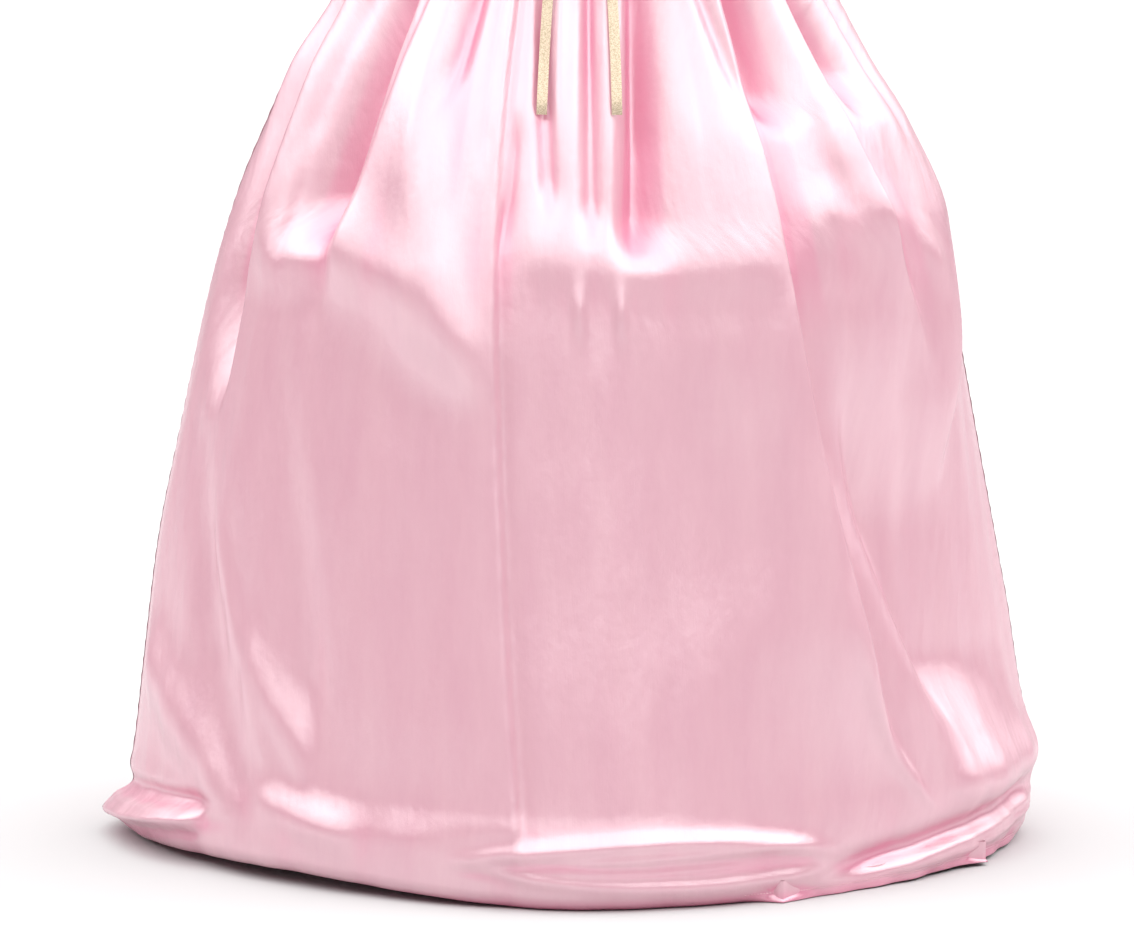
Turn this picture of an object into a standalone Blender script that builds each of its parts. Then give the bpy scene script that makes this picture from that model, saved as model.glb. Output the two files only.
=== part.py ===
"""Princess costume dress, floor length, as it hangs when worn: a hollow shell of cut and sewn satin.

Lengths are metres. Heights in the tables are above the floor; the frame's origin is
midway between the shoulder seams, with +Z up, the front towards -Y and the wearer's left at +X.
Angles are degrees round the upright axis, from 0 at the front, positive towards +X.
"""
import math

import bpy
import numpy as np

# Driving sizes
SHOULDER_HEIGHT = 1.432   # the frame's origin above the floor
WAIST_HEIGHT = 1.040
CLOTH = 0.0015            # wall of every cloth piece
SEAM_GAP = 0.0004         # clear distance between sewn pieces
RIBBON_WIDTH = 0.010
RIBBON_THICKNESS = 0.0010

# Skirt form. reach: distance from the axis towards each side. round: how full the plan's
# front corners are, as the power of a superellipse, 2 being an ellipse.
# height, left, right, front, back, round_left, round_right
SKIRT_LEVELS = (
    (1.040, 0.135, 0.135, 0.100, 0.100, 2.00, 2.00),
    (1.000, 0.158, 0.160, 0.121, 0.125, 2.00, 2.00),
    (0.930, 0.197, 0.204, 0.158, 0.166, 2.00, 2.00),
    (0.832, 0.242, 0.258, 0.208, 0.222, 2.00, 2.00),
    (0.772, 0.282, 0.291, 0.243, 0.258, 1.95, 2.00),
    (0.712, 0.310, 0.328, 0.277, 0.292, 1.90, 2.00),
    (0.652, 0.336, 0.348, 0.306, 0.320, 1.85, 2.00),
    (0.592, 0.356, 0.362, 0.330, 0.342, 1.85, 1.95),
    (0.532, 0.372, 0.372, 0.348, 0.359, 1.80, 1.95),
    (0.412, 0.398, 0.394, 0.376, 0.388, 1.80, 1.90),
    (0.292, 0.422, 0.418, 0.405, 0.416, 1.75, 1.90),
    (0.172, 0.437, 0.441, 0.437, 0.441, 1.70, 1.85),
    (0.090, 0.447, 0.447, 0.458, 0.456, 1.65, 1.85),
    (0.045, 0.456, 0.448, 0.471, 0.463, 1.65, 1.80),
    (0.015, 0.460, 0.446, 0.470, 0.461, 1.65, 1.80),
    (0.000, 0.452, 0.438, 0.462, 0.452, 1.65, 1.80),
)

# Rows of the skirt's wall: height on the level table, and how far the cloth has turned in
# under the hem.
# height, turned_in
SKIRT_ROWS = (
    (1.0398, 0), (1.022, 0), (1.000, 0), (0.970, 0), (0.935, 0), (0.890, 0), (0.840, 0),
    (0.785, 0), (0.730, 0), (0.675, 0), (0.625, 0), (0.575, 0), (0.515, 0), (0.445, 0),
    (0.370, 0), (0.295, 0), (0.225, 0), (0.165, 0), (0.120, 0), (0.090, 0), (0.068, 0),
    (0.050, 0), (0.034, 0), (0.018, 0), (0.006, 0), (0.000, 0.006), (0.000, 0.026),
)

# How far the hem clears the floor round the skirt.
# angle, lift
HEM_LIFTS = (
    (-180, 0.000), (-110, 0.000), (-88, 0.002), (-65, 0.008), (-42, 0.012), (-20, 0.006),
    (-4, 0.000), (30, 0.000), (60, 0.003), (95, 0.001), (130, 0.000), (180, 0.000),
)
HEM_LIFT_FADE = 0.12      # height over which the lift dies out

# Upright folds of the skirt: a ridge where rise is above 0, a trough where it is below.
# Each follows its three angles from its top to its foot. A narrow side is a crisp edge.
# top, foot, angle_top, angle_middle, angle_foot, side_left, side_right, rise, fade_top, fade_foot
FRONT_FOLDS = (
    (1.02, 0.46, -86, -71, -71, 8.0, 3.0, -0.019, 0.12, 0.16),
    (0.98, 0.50, -74, -66, -65, 2.5, 7.0, 0.007, 0.12, 0.20),
    (1.00, 0.585, -50, -47, -49, 8.0, 4.5, -0.024, 0.12, 0.10),
    (0.98, 0.50, -38, -37, -22, 4.0, 11.0, 0.014, 0.14, 0.22),
    (0.97, 0.72, -26, -26, -27, 2.5, 2.5, -0.005, 0.10, 0.12),
    (0.92, 0.03, -17, -14, -9, 9.0, 1.6, 0.006, 0.14, 0.05),
    (0.95, 0.62, -9, -8, -6, 2.5, 2.5, -0.006, 0.12, 0.10),
    (1.00, 0.68, 0, -3, -4, 2.5, 2.5, -0.008, 0.08, 0.10),
    (1.00, 0.60, 6, 4, 2, 2.5, 1.8, -0.007, 0.08, 0.08),
    (1.00, 0.585, 22, 16, 9, 4.5, 5.5, -0.015, 0.10, 0.09),
    (1.01, 0.09, 36, 34, 43, 15.0, 2.4, 0.016, 0.14, 0.16),
    (1.00, 0.58, 43, 43, 41, 2.6, 6.0, -0.014, 0.12, 0.14),
    (1.00, 0.48, 55, 56, 69, 8.0, 2.6, 0.012, 0.12, 0.18),
    (0.98, 0.69, 62, 64, 66, 4.5, 6.5, -0.017, 0.10, 0.10),
    (0.72, 0.36, 86, 76, 65, 10.0, 2.2, 0.009, 0.10, 0.10),
    (0.52, 0.085, 47, 51, 61, 6.0, 12.0, -0.021, 0.20, 0.10),
    (0.30, 0.07, 58, 56, 59, 3.0, 2.0, -0.006, 0.12, 0.05),
    (0.56, 0.08, -70, -54, -37, 6.0, 5.0, -0.009, 0.20, 0.06),
    (0.44, 0.08, -94, -74, -53, 5.0, 5.0, -0.008, 0.18, 0.06),
    (0.36, 0.07, -74, -61, -48, 4.0, 4.0, 0.005, 0.14, 0.05),
    (0.52, 0.20, 18, 22, 16, 9.0, 6.0, -0.006, 0.16, 0.14),
)
BACK_FOLDS = (
    (1.00, 0.30, 101, 100, 104, 6.0, 3.0, -0.014, 0.12, 0.20),
    (1.00, 0.10, 118, 116, 113, 3.0, 9.0, 0.015, 0.14, 0.16),
    (1.00, 0.56, 131, 129, 127, 5.0, 6.0, -0.018, 0.12, 0.12),
    (1.00, 0.05, 143, 144, 150, 9.0, 2.8, 0.013, 0.14, 0.10),
    (0.98, 0.48, 157, 157, 161, 3.0, 7.0, -0.013, 0.12, 0.16),
    (1.00, 0.62, 171, 170, 168, 4.0, 4.0, -0.008, 0.10, 0.12),
    (1.00, 0.34, 184, 186, 190, 4.0, 8.0, 0.009, 0.12, 0.18),
    (1.00, 0.55, 198, 197, 194, 5.0, 5.0, -0.016, 0.12, 0.12),
    (1.00, 0.09, 211, 212, 206, 2.8, 10.0, 0.015, 0.14, 0.14),
    (1.00, 0.60, 224, 226, 229, 5.0, 6.0, -0.017, 0.12, 0.12),
    (1.00, 0.22, 239, 240, 246, 8.0, 3.0, 0.012, 0.12, 0.20),
    (1.00, 0.50, 254, 256, 258, 5.0, 5.0, -0.014, 0.12, 0.16),
    (0.46, 0.08, 136, 132, 126, 8.0, 6.0, -0.014, 0.18, 0.07),
    (0.40, 0.07, 222, 226, 233, 6.0, 8.0, -0.013, 0.18, 0.07),
)

# Rolls where the cloth meets the floor, running round the hem.
# angle_from, angle_to, height_from, height_to, half_height, rise, fade
HEM_ROLLS = (
    (-14, 33, 0.064, 0.056, 0.012, -0.007, 14),
    (-2, 36, 0.040, 0.038, 0.009, 0.006, 12),
    (34, 84, 0.030, 0.066, 0.010, -0.010, 12),
    (30, 90, 0.008, 0.040, 0.011, 0.007, 14),
    (-100, -60, 0.027, 0.032, 0.012, 0.020, 8),
    (-104, -56, 0.052, 0.056, 0.012, -0.007, 9),
    (120, 175, 0.050, 0.040, 0.014, -0.006, 16),
    (190, 240, 0.038, 0.048, 0.014, -0.006, 16),
)

# Gathers of the waist seam.
GATHERS = 40
GATHER_RISE = 0.0034
GATHER_FULL_HEIGHT = 0.985
GATHER_END_HEIGHT = 0.800
# Their spacing drifts round the waist: amount in radians, times round, phase
GATHER_DRIFTS = ((1.5, 3, 0.0), (0.9, 7, 1.0))

FRONT_COLUMNS = 72
BACK_COLUMNS = 27         # of each back panel

# Bodice form at each level: half width, and depth from the axis to front and back.
# height, half_width, front, back
BODICE_LEVELS = (
    (1.040, 0.135, 0.100, 0.100),
    (1.090, 0.141, 0.102, 0.098),
    (1.140, 0.152, 0.110, 0.098),
    (1.200, 0.165, 0.122, 0.103),
    (1.250, 0.167, 0.122, 0.107),
    (1.310, 0.167, 0.118, 0.108),
    (1.460, 0.176, 0.118, 0.108),
)
DOME_START = 1.200        # above it the depth closes in to the shoulder seam
NECK_POINT_ANGLE = 31
SHOULDER_TIP_ANGLE = 69
NECK_POINT_HEIGHT = 1.450
SHOULDER_TIP_HEIGHT = 1.414
UNDERARM_HEIGHT = 1.235
FRONT_NECK_HEIGHT = 1.335
BACK_NECK_HEIGHT = 1.395
ARMHOLE_CUT = 26          # degrees its edge bows in from the line underarm to shoulder tip
ARMHOLE_LEAN = 0.62       # below 1 puts the deepest part of the bow below the middle
BACK_CLOSING = 0.75       # below 1 keeps the back fuller than the front under the shoulder seam
BUST_ANGLE = 36
BUST_HEIGHT = 1.205
BUST_SPREAD = (19, 0.048)  # degrees, metres
BUST_RISE = 0.011
BACK_LAP = 0.018          # how far the left back runs under the right one
LAP_COLUMNS = 2
LAP_RAMP = 0.030          # width over which the right back lifts over it
LAP_LIFT = CLOTH + 0.0013
BODICE_COLUMNS = 11       # of each half
BODICE_ROWS = 14
NECK_SHARE = 0.5          # share of a half's columns that ends on the neckline
UNDERARM_SHARE = 0.5      # share of the rows below the underarm

# Ribbon tie at the waist: a band, a flat knot and two free tails.
BAND_COLUMNS = 48
BAND_CLEARANCE = 0.0006
BAND_ABOVE_SEAM = 0.0016
BAND_LAP_ANGLES = (150, 170)  # where the band starts to lift and is clear of the bodice's lap
KNOT_SIZE = (0.034, 0.0065, 0.015)
KNOT_ROUNDING = 0.0028
TAIL_END_HEIGHT = 0.727
TAIL_ROWS = 26
TAIL_CLEARANCE = 0.0008
TAIL_REST_MARGIN = 0.004  # ridges this far beside a tail hold it off too
# side, sideways offset of the tail at the knot, at mid length and at its end
TAILS = (
    ("right", -0.0100, -0.0275, -0.0370),
    ("left", 0.0100, 0.0270, 0.0343),
)

SHARP_ANGLE = 50          # edges that turn more are shaded sharp

# colour, roughness, metallic
MATERIALS = {
    "satin": ((0.86, 0.42, 0.52, 1.0), 0.30, 0.0),
    "gold_ribbon": ((0.80, 0.62, 0.38, 1.0), 0.42, 0.6),
}


def clear_scene():
    for item in list(bpy.data.objects):
        bpy.data.objects.remove(item)


def make_material(name):
    colour, roughness, metallic = MATERIALS[name]
    material = bpy.data.materials.new(name)
    material.use_nodes = True
    shader = material.node_tree.nodes["Principled BSDF"]
    shader.inputs["Base Color"].default_value = colour
    shader.inputs["Roughness"].default_value = roughness
    shader.inputs["Metallic"].default_value = metallic
    return material


def smooth(value):
    """Goes from 0 to 1 with no corner at either end."""
    value = np.clip(value, 0, 1)
    return value * value * (3 - 2 * value)


def curve_through(x, xs, ys):
    """A smooth curve through the table's points that never overshoots them (monotone cubic)."""
    order = np.argsort(xs)
    xs = np.asarray(xs, float)[order]
    ys = np.asarray(ys, float)[order]
    step = np.diff(xs)
    slope = np.diff(ys) / step
    turn = slope[:-1] * slope[1:]
    tangent = np.zeros(len(xs))
    tangent[1:-1] = np.where(turn > 0, 2 * turn / (slope[:-1] + slope[1:] + 1e-12), 0)
    tangent[0] = slope[0]
    tangent[-1] = slope[-1]
    x = np.clip(x, xs[0], xs[-1])
    i = np.clip(np.searchsorted(xs, x) - 1, 0, len(step) - 1)
    t = (x - xs[i]) / step[i]
    return (
        (1 + 2 * t) * (1 - t) ** 2 * ys[i]
        + t * (1 - t) ** 2 * step[i] * tangent[i]
        + t * t * (3 - 2 * t) * ys[i + 1]
        + t * t * (t - 1) * step[i] * tangent[i + 1]
    )


def level_value(table, height, column):
    rows = np.array(table)
    return curve_through(height, rows[:, 0], rows[:, column])


def plan_reach(angle, height):
    """Distance from the axis to the skirt before its folds, on a superellipse."""
    across = np.sin(np.radians(angle))
    ahead = np.cos(np.radians(angle))
    side = np.where(
        across < 0, level_value(SKIRT_LEVELS, height, 1), level_value(SKIRT_LEVELS, height, 2)
    )
    depth = np.where(
        ahead > 0, level_value(SKIRT_LEVELS, height, 3), level_value(SKIRT_LEVELS, height, 4)
    )
    front_power = np.where(
        across < 0, level_value(SKIRT_LEVELS, height, 5), level_value(SKIRT_LEVELS, height, 6)
    )
    power = np.where(ahead > 0, front_power, 2.0)
    return ((np.abs(across) / side) ** power + (np.abs(ahead) / depth) ** power) ** (-1 / power)


def angle_between(angle, centre):
    return (angle - centre + 180) % 360 - 180


def through_three(share, start, middle, end):
    """The parabola through three values at shares 0, 0.5 and 1."""
    return (
        start * (1 - share) * (1 - 2 * share)
        + middle * 4 * share * (1 - share)
        + end * share * (2 * share - 1)
    )


def fold_rise(angle, height, fold):
    """One upright fold: a bell across it, with its own spread each side, faded at both ends."""
    top, foot, at_top, at_middle, at_foot, left, right, rise, fade_top, fade_foot = fold
    share = np.clip((top - height) / (top - foot), 0, 1)
    off = angle_between(angle, through_three(share, at_top, at_middle, at_foot))
    spread = np.where(off < 0, left, right)
    fade = smooth((top - height) / fade_top) * smooth((height - foot) / fade_foot)
    return rise * np.exp(-((off / spread) ** 2)) * fade


def roll_rise(angle, height, roll):
    """One roll of the hem: a bell up and down, faded at both ends round the hem."""
    start, end, height_from, height_to, half_height, rise, fade = roll
    middle = (start + end) / 2
    off = angle_between(angle, middle)
    half = (end - start) / 2
    share = np.clip(off / (end - start) + 0.5, 0, 1)
    centre = height_from + (height_to - height_from) * share
    ends = smooth((half - np.abs(off)) / fade)
    return rise * np.exp(-(((height - centre) / half_height) ** 2)) * ends


def gather_rise(angle, height):
    """Uneven gathers: a wave whose spacing drifts round the waist, dying out down the skirt."""
    turn = np.radians(angle)
    drift = sum(amount * np.sin(times * turn + phase) for amount, times, phase in GATHER_DRIFTS)
    wave = np.cos(GATHERS * turn + drift)
    grow = smooth((WAIST_HEIGHT - height) / (WAIST_HEIGHT - GATHER_FULL_HEIGHT))
    fade = smooth((height - GATHER_END_HEIGHT) / (GATHER_FULL_HEIGHT - GATHER_END_HEIGHT))
    return GATHER_RISE * wave * grow * fade


def skirt_reach(angle, height):
    reach = plan_reach(angle, height) + gather_rise(angle, height)
    for fold in FRONT_FOLDS + BACK_FOLDS:
        reach = reach + fold_rise(angle, height, fold)
    for roll in HEM_ROLLS:
        reach = reach + roll_rise(angle, height, roll)
    return reach


def hem_lift(angle, height):
    rows = np.array(HEM_LIFTS)
    lift = curve_through(angle_between(angle, 0), rows[:, 0], rows[:, 1])
    return lift * smooth(1 - height / HEM_LIFT_FADE)


def skirt_points(angle, height, turned_in):
    """Points of the skirt's outer face, heights above the floor."""
    reach = skirt_reach(angle, height) - turned_in
    turn = np.radians(angle)
    return np.stack(
        [reach * np.sin(turn), -reach * np.cos(turn), height + hem_lift(angle, height)], axis=-1
    )


def grid_normals(points):
    """Unit normals of a grid of points from its neighbours, along then down the grid."""
    along = np.gradient(points, axis=1)
    down = np.gradient(points, axis=0)
    normals = np.cross(down, along)
    return normals / np.linalg.norm(normals, axis=-1, keepdims=True)


def flatten_edges(normals, edges):
    """Keeps a seam's wall square to it: drops the part of the normal that crosses the seam."""
    for index, axis in edges:
        normals[index + (axis,)] = 0
    return normals / np.linalg.norm(normals, axis=-1, keepdims=True)


def wall(name, outer, inner, material):
    """A closed wall between two grids of points that match one to one."""
    rows, columns = outer.shape[:2]
    count = rows * columns
    points = np.concatenate([outer.reshape(-1, 3), inner.reshape(-1, 3)])
    points = points - np.array([0, 0, SHOULDER_HEIGHT])
    index = np.arange(count).reshape(rows, columns)
    a, b = index[:-1, :-1].ravel(), index[:-1, 1:].ravel()
    c, d = index[1:, 1:].ravel(), index[1:, :-1].ravel()
    faces = [np.stack([a, d, c, b], axis=1), np.stack([a, b, c, d], axis=1) + count]
    border = np.concatenate(
        [index[0, :-1], index[:-1, -1], index[-1, :0:-1], index[:0:-1, 0]]
    )
    onward = np.roll(border, -1)
    faces.append(np.stack([border, onward, onward + count, border + count], axis=1))
    mesh = bpy.data.meshes.new(name)
    mesh.from_pydata(points.tolist(), [], np.concatenate(faces).tolist())
    mesh.shade_smooth()
    mesh.set_sharp_from_angle(angle=math.radians(SHARP_ANGLE))
    mesh.materials.append(material)
    piece = bpy.data.objects.new(name, mesh)
    bpy.context.scene.collection.objects.link(piece)
    return piece


def sheet_wall(name, outer, thickness, material, seams=()):
    """A wall of even thickness inside a grid of outer points. seams: grid index and the axis
    across each seam."""
    normals = flatten_edges(grid_normals(outer), seams)
    return wall(name, outer, outer - normals * thickness, material)


def seam_angle(height, side):
    """The angle at which the side seam's edge stands half the seam gap off the side plane."""
    return 90 - np.degrees(np.arcsin(SEAM_GAP / 2 / plan_reach(90 * side, height)))


def make_skirt(satin):
    """The front panel runs from side seam to side seam; two back panels meet at the centre back."""
    heights, turned = np.array(SKIRT_ROWS, float).T
    heights = heights[:, None]
    turned = turned[:, None]
    edge_left = seam_angle(heights, -1)
    edge_right = seam_angle(heights, 1)
    share = np.linspace(0, 1, FRONT_COLUMNS)[None, :]
    angles = -edge_left + share * (edge_left + edge_right)
    front = skirt_points(angles, heights, turned)
    side_seams = [((slice(None), 0), 1), ((slice(None), -1), 1)]
    sheet_wall("skirt_front", front, CLOTH, satin, side_seams)

    share = np.linspace(0, 1, BACK_COLUMNS)[None, :]
    back_reach = plan_reach(180, heights)
    centre_back = 180 - np.degrees(np.arcsin(SEAM_GAP / 2 / back_reach))
    back_seams = [((slice(None), 0), 1), ((slice(None), -1), 0)]
    angles = (180 - edge_right) + share * (centre_back - (180 - edge_right))
    sheet_wall("skirt_back_left", skirt_points(angles, heights, turned), CLOTH, satin, back_seams)
    back_seams = [((slice(None), 0), 0), ((slice(None), -1), 1)]
    angles = 360 - centre_back + share * (centre_back - (180 - edge_left))
    sheet_wall("skirt_back_right", skirt_points(angles, heights, turned), CLOTH, satin, back_seams)


def rise_of_height(height, angle):
    """The bodice's upright parameter: 0 to 1 from waist to dome, 1 to 2 on to the shoulder."""
    body = (height - WAIST_HEIGHT) / (DOME_START - WAIST_HEIGHT)
    share = (height - DOME_START) / (shoulder_height(angle) - DOME_START)
    dome = 1 + np.arcsin(np.clip(share, 0, 1)) / (math.pi / 2)
    return np.where(height < DOME_START, body, dome)


def shoulder_height(angle):
    """The shoulder line falls evenly from the neck point to the tip, level towards the middle."""
    share = (np.abs(angle) - NECK_POINT_ANGLE) / (SHOULDER_TIP_ANGLE - NECK_POINT_ANGLE)
    return NECK_POINT_HEIGHT + (SHOULDER_TIP_HEIGHT - NECK_POINT_HEIGHT) * np.clip(share, 0, 1)


def bodice_points(angle, rise, back):
    """Points of the bodice's outer face: an oval at each level that closes in over the shoulder."""
    body = WAIST_HEIGHT + SEAM_GAP / 2 + (DOME_START - WAIST_HEIGHT) * rise
    lean = np.clip(rise - 1, 0, 1) * math.pi / 2
    dome = DOME_START + (shoulder_height(angle) - DOME_START) * np.sin(lean)
    height = np.where(rise < 1, body, dome)
    turn = np.radians(angle)
    width = level_value(BODICE_LEVELS, height, 1)
    depth = level_value(BODICE_LEVELS, height, 3 if back else 2)
    closing = np.cos(lean) ** (BACK_CLOSING if back else 1.0)
    bust = 0 if back else BUST_RISE * np.exp(
        -(((np.abs(angle) - BUST_ANGLE) / BUST_SPREAD[0]) ** 2)
        - ((height - BUST_HEIGHT) / BUST_SPREAD[1]) ** 2
    )
    ahead = np.maximum((depth + bust) * np.cos(turn) * closing, SEAM_GAP / 2)
    return np.stack(
        [width * np.sin(turn), ahead if back else -ahead, height + 0 * angle], axis=-1
    )


def half_patch(neck_height, back):
    """One half of a bodice piece, centre to side, blended from its four edges (a Coons patch)."""
    s = np.linspace(0, 1, BODICE_COLUMNS)[None, :]
    t = np.linspace(0, 1, BODICE_ROWS)[:, None]
    neck_rise = float(rise_of_height(np.array(neck_height), np.array(0.0)))
    underarm_rise = float(rise_of_height(np.array(UNDERARM_HEIGHT), np.array(90.0)))

    def top_edge(share):
        """The neckline's scoop, then the shoulder seam."""
        scoop = np.clip(share / NECK_SHARE, 0, 1) * math.pi / 2
        along = np.clip((share - NECK_SHARE) / (1 - NECK_SHARE), 0, 1)
        angle = NECK_POINT_ANGLE * np.sin(scoop) + (SHOULDER_TIP_ANGLE - NECK_POINT_ANGLE) * along
        rise = neck_rise + (2 - neck_rise) * (1 - np.cos(scoop))
        return np.stack(np.broadcast_arrays(angle, rise), axis=-1)

    def side_edge(share):
        """The side seam, then the armhole."""
        seam = np.clip(share / UNDERARM_SHARE, 0, 1)
        up = np.clip((share - UNDERARM_SHARE) / (1 - UNDERARM_SHARE), 0, 1)
        bow = np.sin(math.pi * up ** ARMHOLE_LEAN)
        angle = 90 + (SHOULDER_TIP_ANGLE - 90) * up - ARMHOLE_CUT * bow
        rise = underarm_rise * seam + (2 - underarm_rise) * up
        return np.stack(np.broadcast_arrays(angle, rise), axis=-1)

    bottom = np.stack(np.broadcast_arrays(90 * s, 0 * s), axis=-1)
    centre = np.stack(np.broadcast_arrays(0 * t, neck_rise * t), axis=-1)
    top = top_edge(s)
    side = side_edge(t)
    s = s[..., None]
    t = t[..., None]
    corners = (
        (1 - s) * (1 - t) * bottom[:, :1]
        + s * (1 - t) * bottom[:, -1:]
        + (1 - s) * t * top[:, :1]
        + s * t * top[:, -1:]
    )
    patch = (1 - t) * bottom + t * top + (1 - s) * centre + s * side - corners
    return bodice_points(patch[..., 0], patch[..., 1], back)


def mirrored(points):
    return points[:, ::-1] * np.array([-1, 1, 1])


def upright_from_waist(points):
    """Grids are filled from the waist up, and walls want their first row at the top."""
    return points[::-1]


def make_bodice(satin):
    """A front cut in one, and two backs that lap at the centre back for a touch fastening."""
    side_rows = slice(BODICE_ROWS - 1 - int(UNDERARM_SHARE * (BODICE_ROWS - 1)), None)
    seam_columns = BODICE_COLUMNS - 1 - int(NECK_SHARE * (BODICE_COLUMNS - 1))

    right = half_patch(FRONT_NECK_HEIGHT, back=False)
    front = upright_from_waist(np.concatenate([mirrored(right)[:, :-1], right], axis=1))
    seams = [
        ((side_rows, 0), 1),
        ((side_rows, -1), 1),
        ((0, slice(None, seam_columns + 1)), 1),
        ((0, slice(-seam_columns - 1, None)), 1),
    ]
    sheet_wall("bodice_front", front, CLOTH, satin, seams)

    left = half_patch(BACK_NECK_HEIGHT, back=True)[:, ::-1]
    run = np.linspace(0, BACK_LAP, LAP_COLUMNS + 1)[None, 1:]
    width = level_value(BODICE_LEVELS, left[:, -1:, 2], 1)
    lap_depth = left[:, -1:, 1] * np.sqrt(1 - (run / width) ** 2)
    lap = np.stack(np.broadcast_arrays(-run, lap_depth, left[:, -1:, 2]), axis=-1)
    left = upright_from_waist(np.concatenate([left, lap], axis=1))
    seams = [((side_rows, 0), 1), ((0, slice(None, seam_columns + 1)), 1)]
    sheet_wall("bodice_back_left", left, CLOTH, satin, seams)

    right = mirrored(half_patch(BACK_NECK_HEIGHT, back=True)[:, ::-1])
    over = smooth((LAP_RAMP + BACK_LAP + right[..., 0]) / LAP_RAMP)
    right[..., 1] += LAP_LIFT * over
    right = upright_from_waist(right)
    seams = [((side_rows, -1), 1), ((0, slice(-seam_columns - 1, None)), 1)]
    sheet_wall("bodice_back_right", right, CLOTH, satin, seams)


def make_band(ribbon):
    """The ribbon round the waist, a closed ring just above the waist seam."""
    low = WAIST_HEIGHT + BAND_ABOVE_SEAM
    angle = np.linspace(0, 360, BAND_COLUMNS, endpoint=False)
    rings = []
    for height, stand_off in (
        (low + RIBBON_WIDTH, BAND_CLEARANCE + RIBBON_THICKNESS),
        (low, BAND_CLEARANCE + RIBBON_THICKNESS),
        (low, BAND_CLEARANCE),
        (low + RIBBON_WIDTH, BAND_CLEARANCE),
    ):
        turn = np.radians(angle)
        lift_from, lift_to = BAND_LAP_ANGLES
        behind = smooth((np.abs(angle_between(angle, 0)) - lift_from) / (lift_to - lift_from))
        clear = stand_off + LAP_LIFT * behind
        width = level_value(BODICE_LEVELS, low + RIBBON_WIDTH, 1) + clear
        depth = level_value(BODICE_LEVELS, low + RIBBON_WIDTH, 2) + clear
        rings.append(
            np.stack([width * np.sin(turn), -depth * np.cos(turn), height + 0 * turn], axis=-1)
        )
    points = np.stack(rings)
    ring = np.arange(4)[:, None]
    step = np.arange(BAND_COLUMNS)[None, :]
    onward = (step + 1) % BAND_COLUMNS
    below = (ring + 1) % 4
    faces = np.stack(
        np.broadcast_arrays(
            ring * BAND_COLUMNS + step,
            below * BAND_COLUMNS + step,
            below * BAND_COLUMNS + onward,
            ring * BAND_COLUMNS + onward,
        ),
        axis=-1,
    ).reshape(-1, 4)
    mesh = bpy.data.meshes.new("waist_ribbon")
    flat = points.reshape(-1, 3) - np.array([0, 0, SHOULDER_HEIGHT])
    mesh.from_pydata(flat.tolist(), [], faces.tolist())
    mesh.materials.append(ribbon)
    band = bpy.data.objects.new("waist_ribbon", mesh)
    bpy.context.scene.collection.objects.link(band)
    front = level_value(BODICE_LEVELS, low + RIBBON_WIDTH, 2) + BAND_CLEARANCE + RIBBON_THICKNESS
    return float(front), low


def make_knot(ribbon, band_front, band_low):
    """The flat knot: a block with rounded edges, just in front of the band."""
    width, depth, tall = KNOT_SIZE
    bpy.ops.mesh.primitive_cube_add(size=1)
    knot = bpy.context.active_object
    knot.name = "ribbon_knot"
    knot.data.name = "ribbon_knot"
    knot.data.transform(
        ((width, 0, 0, 0), (0, depth, 0, 0), (0, 0, tall, 0), (0, 0, 0, 1))
    )
    knot.location = (
        0,
        -(band_front + SEAM_GAP + depth / 2),
        band_low + RIBBON_WIDTH / 2 - SHOULDER_HEIGHT,
    )
    bevel = knot.modifiers.new("rounded", "BEVEL")
    bevel.width = KNOT_ROUNDING
    bevel.segments = 3
    knot.data.materials.append(ribbon)
    return band_low + RIBBON_WIDTH / 2 - tall / 2


def make_tail(ribbon, tail, top):
    """A free end of the tie: a strip that lies on the ridges of the skirt in front of it."""
    side, at_knot, at_middle, at_end = tail
    share = np.linspace(0, 1, TAIL_ROWS)[:, None]
    height = top - SEAM_GAP + (TAIL_END_HEIGHT - top) * share
    centre = through_three(share, at_knot, at_middle, at_end)
    across = np.linspace(-1, 1, 9)[None, :] * (RIBBON_WIDTH / 2 + TAIL_REST_MARGIN)
    x = centre + across
    ahead = plan_reach(0, height) + 0 * x
    for _ in range(4):
        angle = np.degrees(np.arctan2(x, ahead))
        ahead = skirt_reach(angle, height) * np.cos(np.radians(angle))
    front = ahead.max(axis=1)
    run = np.maximum(front, np.maximum(np.roll(front, 1), np.roll(front, -1)))
    run[0] = front[0]
    run[-1] = max(front[-2:])
    face = run[:, None] + TAIL_CLEARANCE + RIBBON_THICKNESS
    edge = np.array([-1, 1])[None, :] * RIBBON_WIDTH / 2
    outer = np.stack(np.broadcast_arrays(centre + edge, -face, height), axis=-1)
    sheet_wall("ribbon_tail_" + side, outer, RIBBON_THICKNESS, ribbon)


def main():
    clear_scene()
    satin = make_material("satin")
    ribbon = make_material("gold_ribbon")
    make_skirt(satin)
    make_bodice(satin)
    band_front, band_low = make_band(ribbon)
    knot_foot = make_knot(ribbon, band_front, band_low)
    for tail in TAILS:
        make_tail(ribbon, tail, knot_foot)


main()
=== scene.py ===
"""Looks of the princess costume dress: glossy satin shells, sewing and a pale gold ribbon tie.

Lengths are metres. Heights in the tables are above the floor; the frame's origin is midway
between the shoulder seams, with +Z up, the front towards -Y and the wearer's left at +X.
Angles are degrees round the upright axis, from 0 at the front, positive towards +X.
"""
import math

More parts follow.
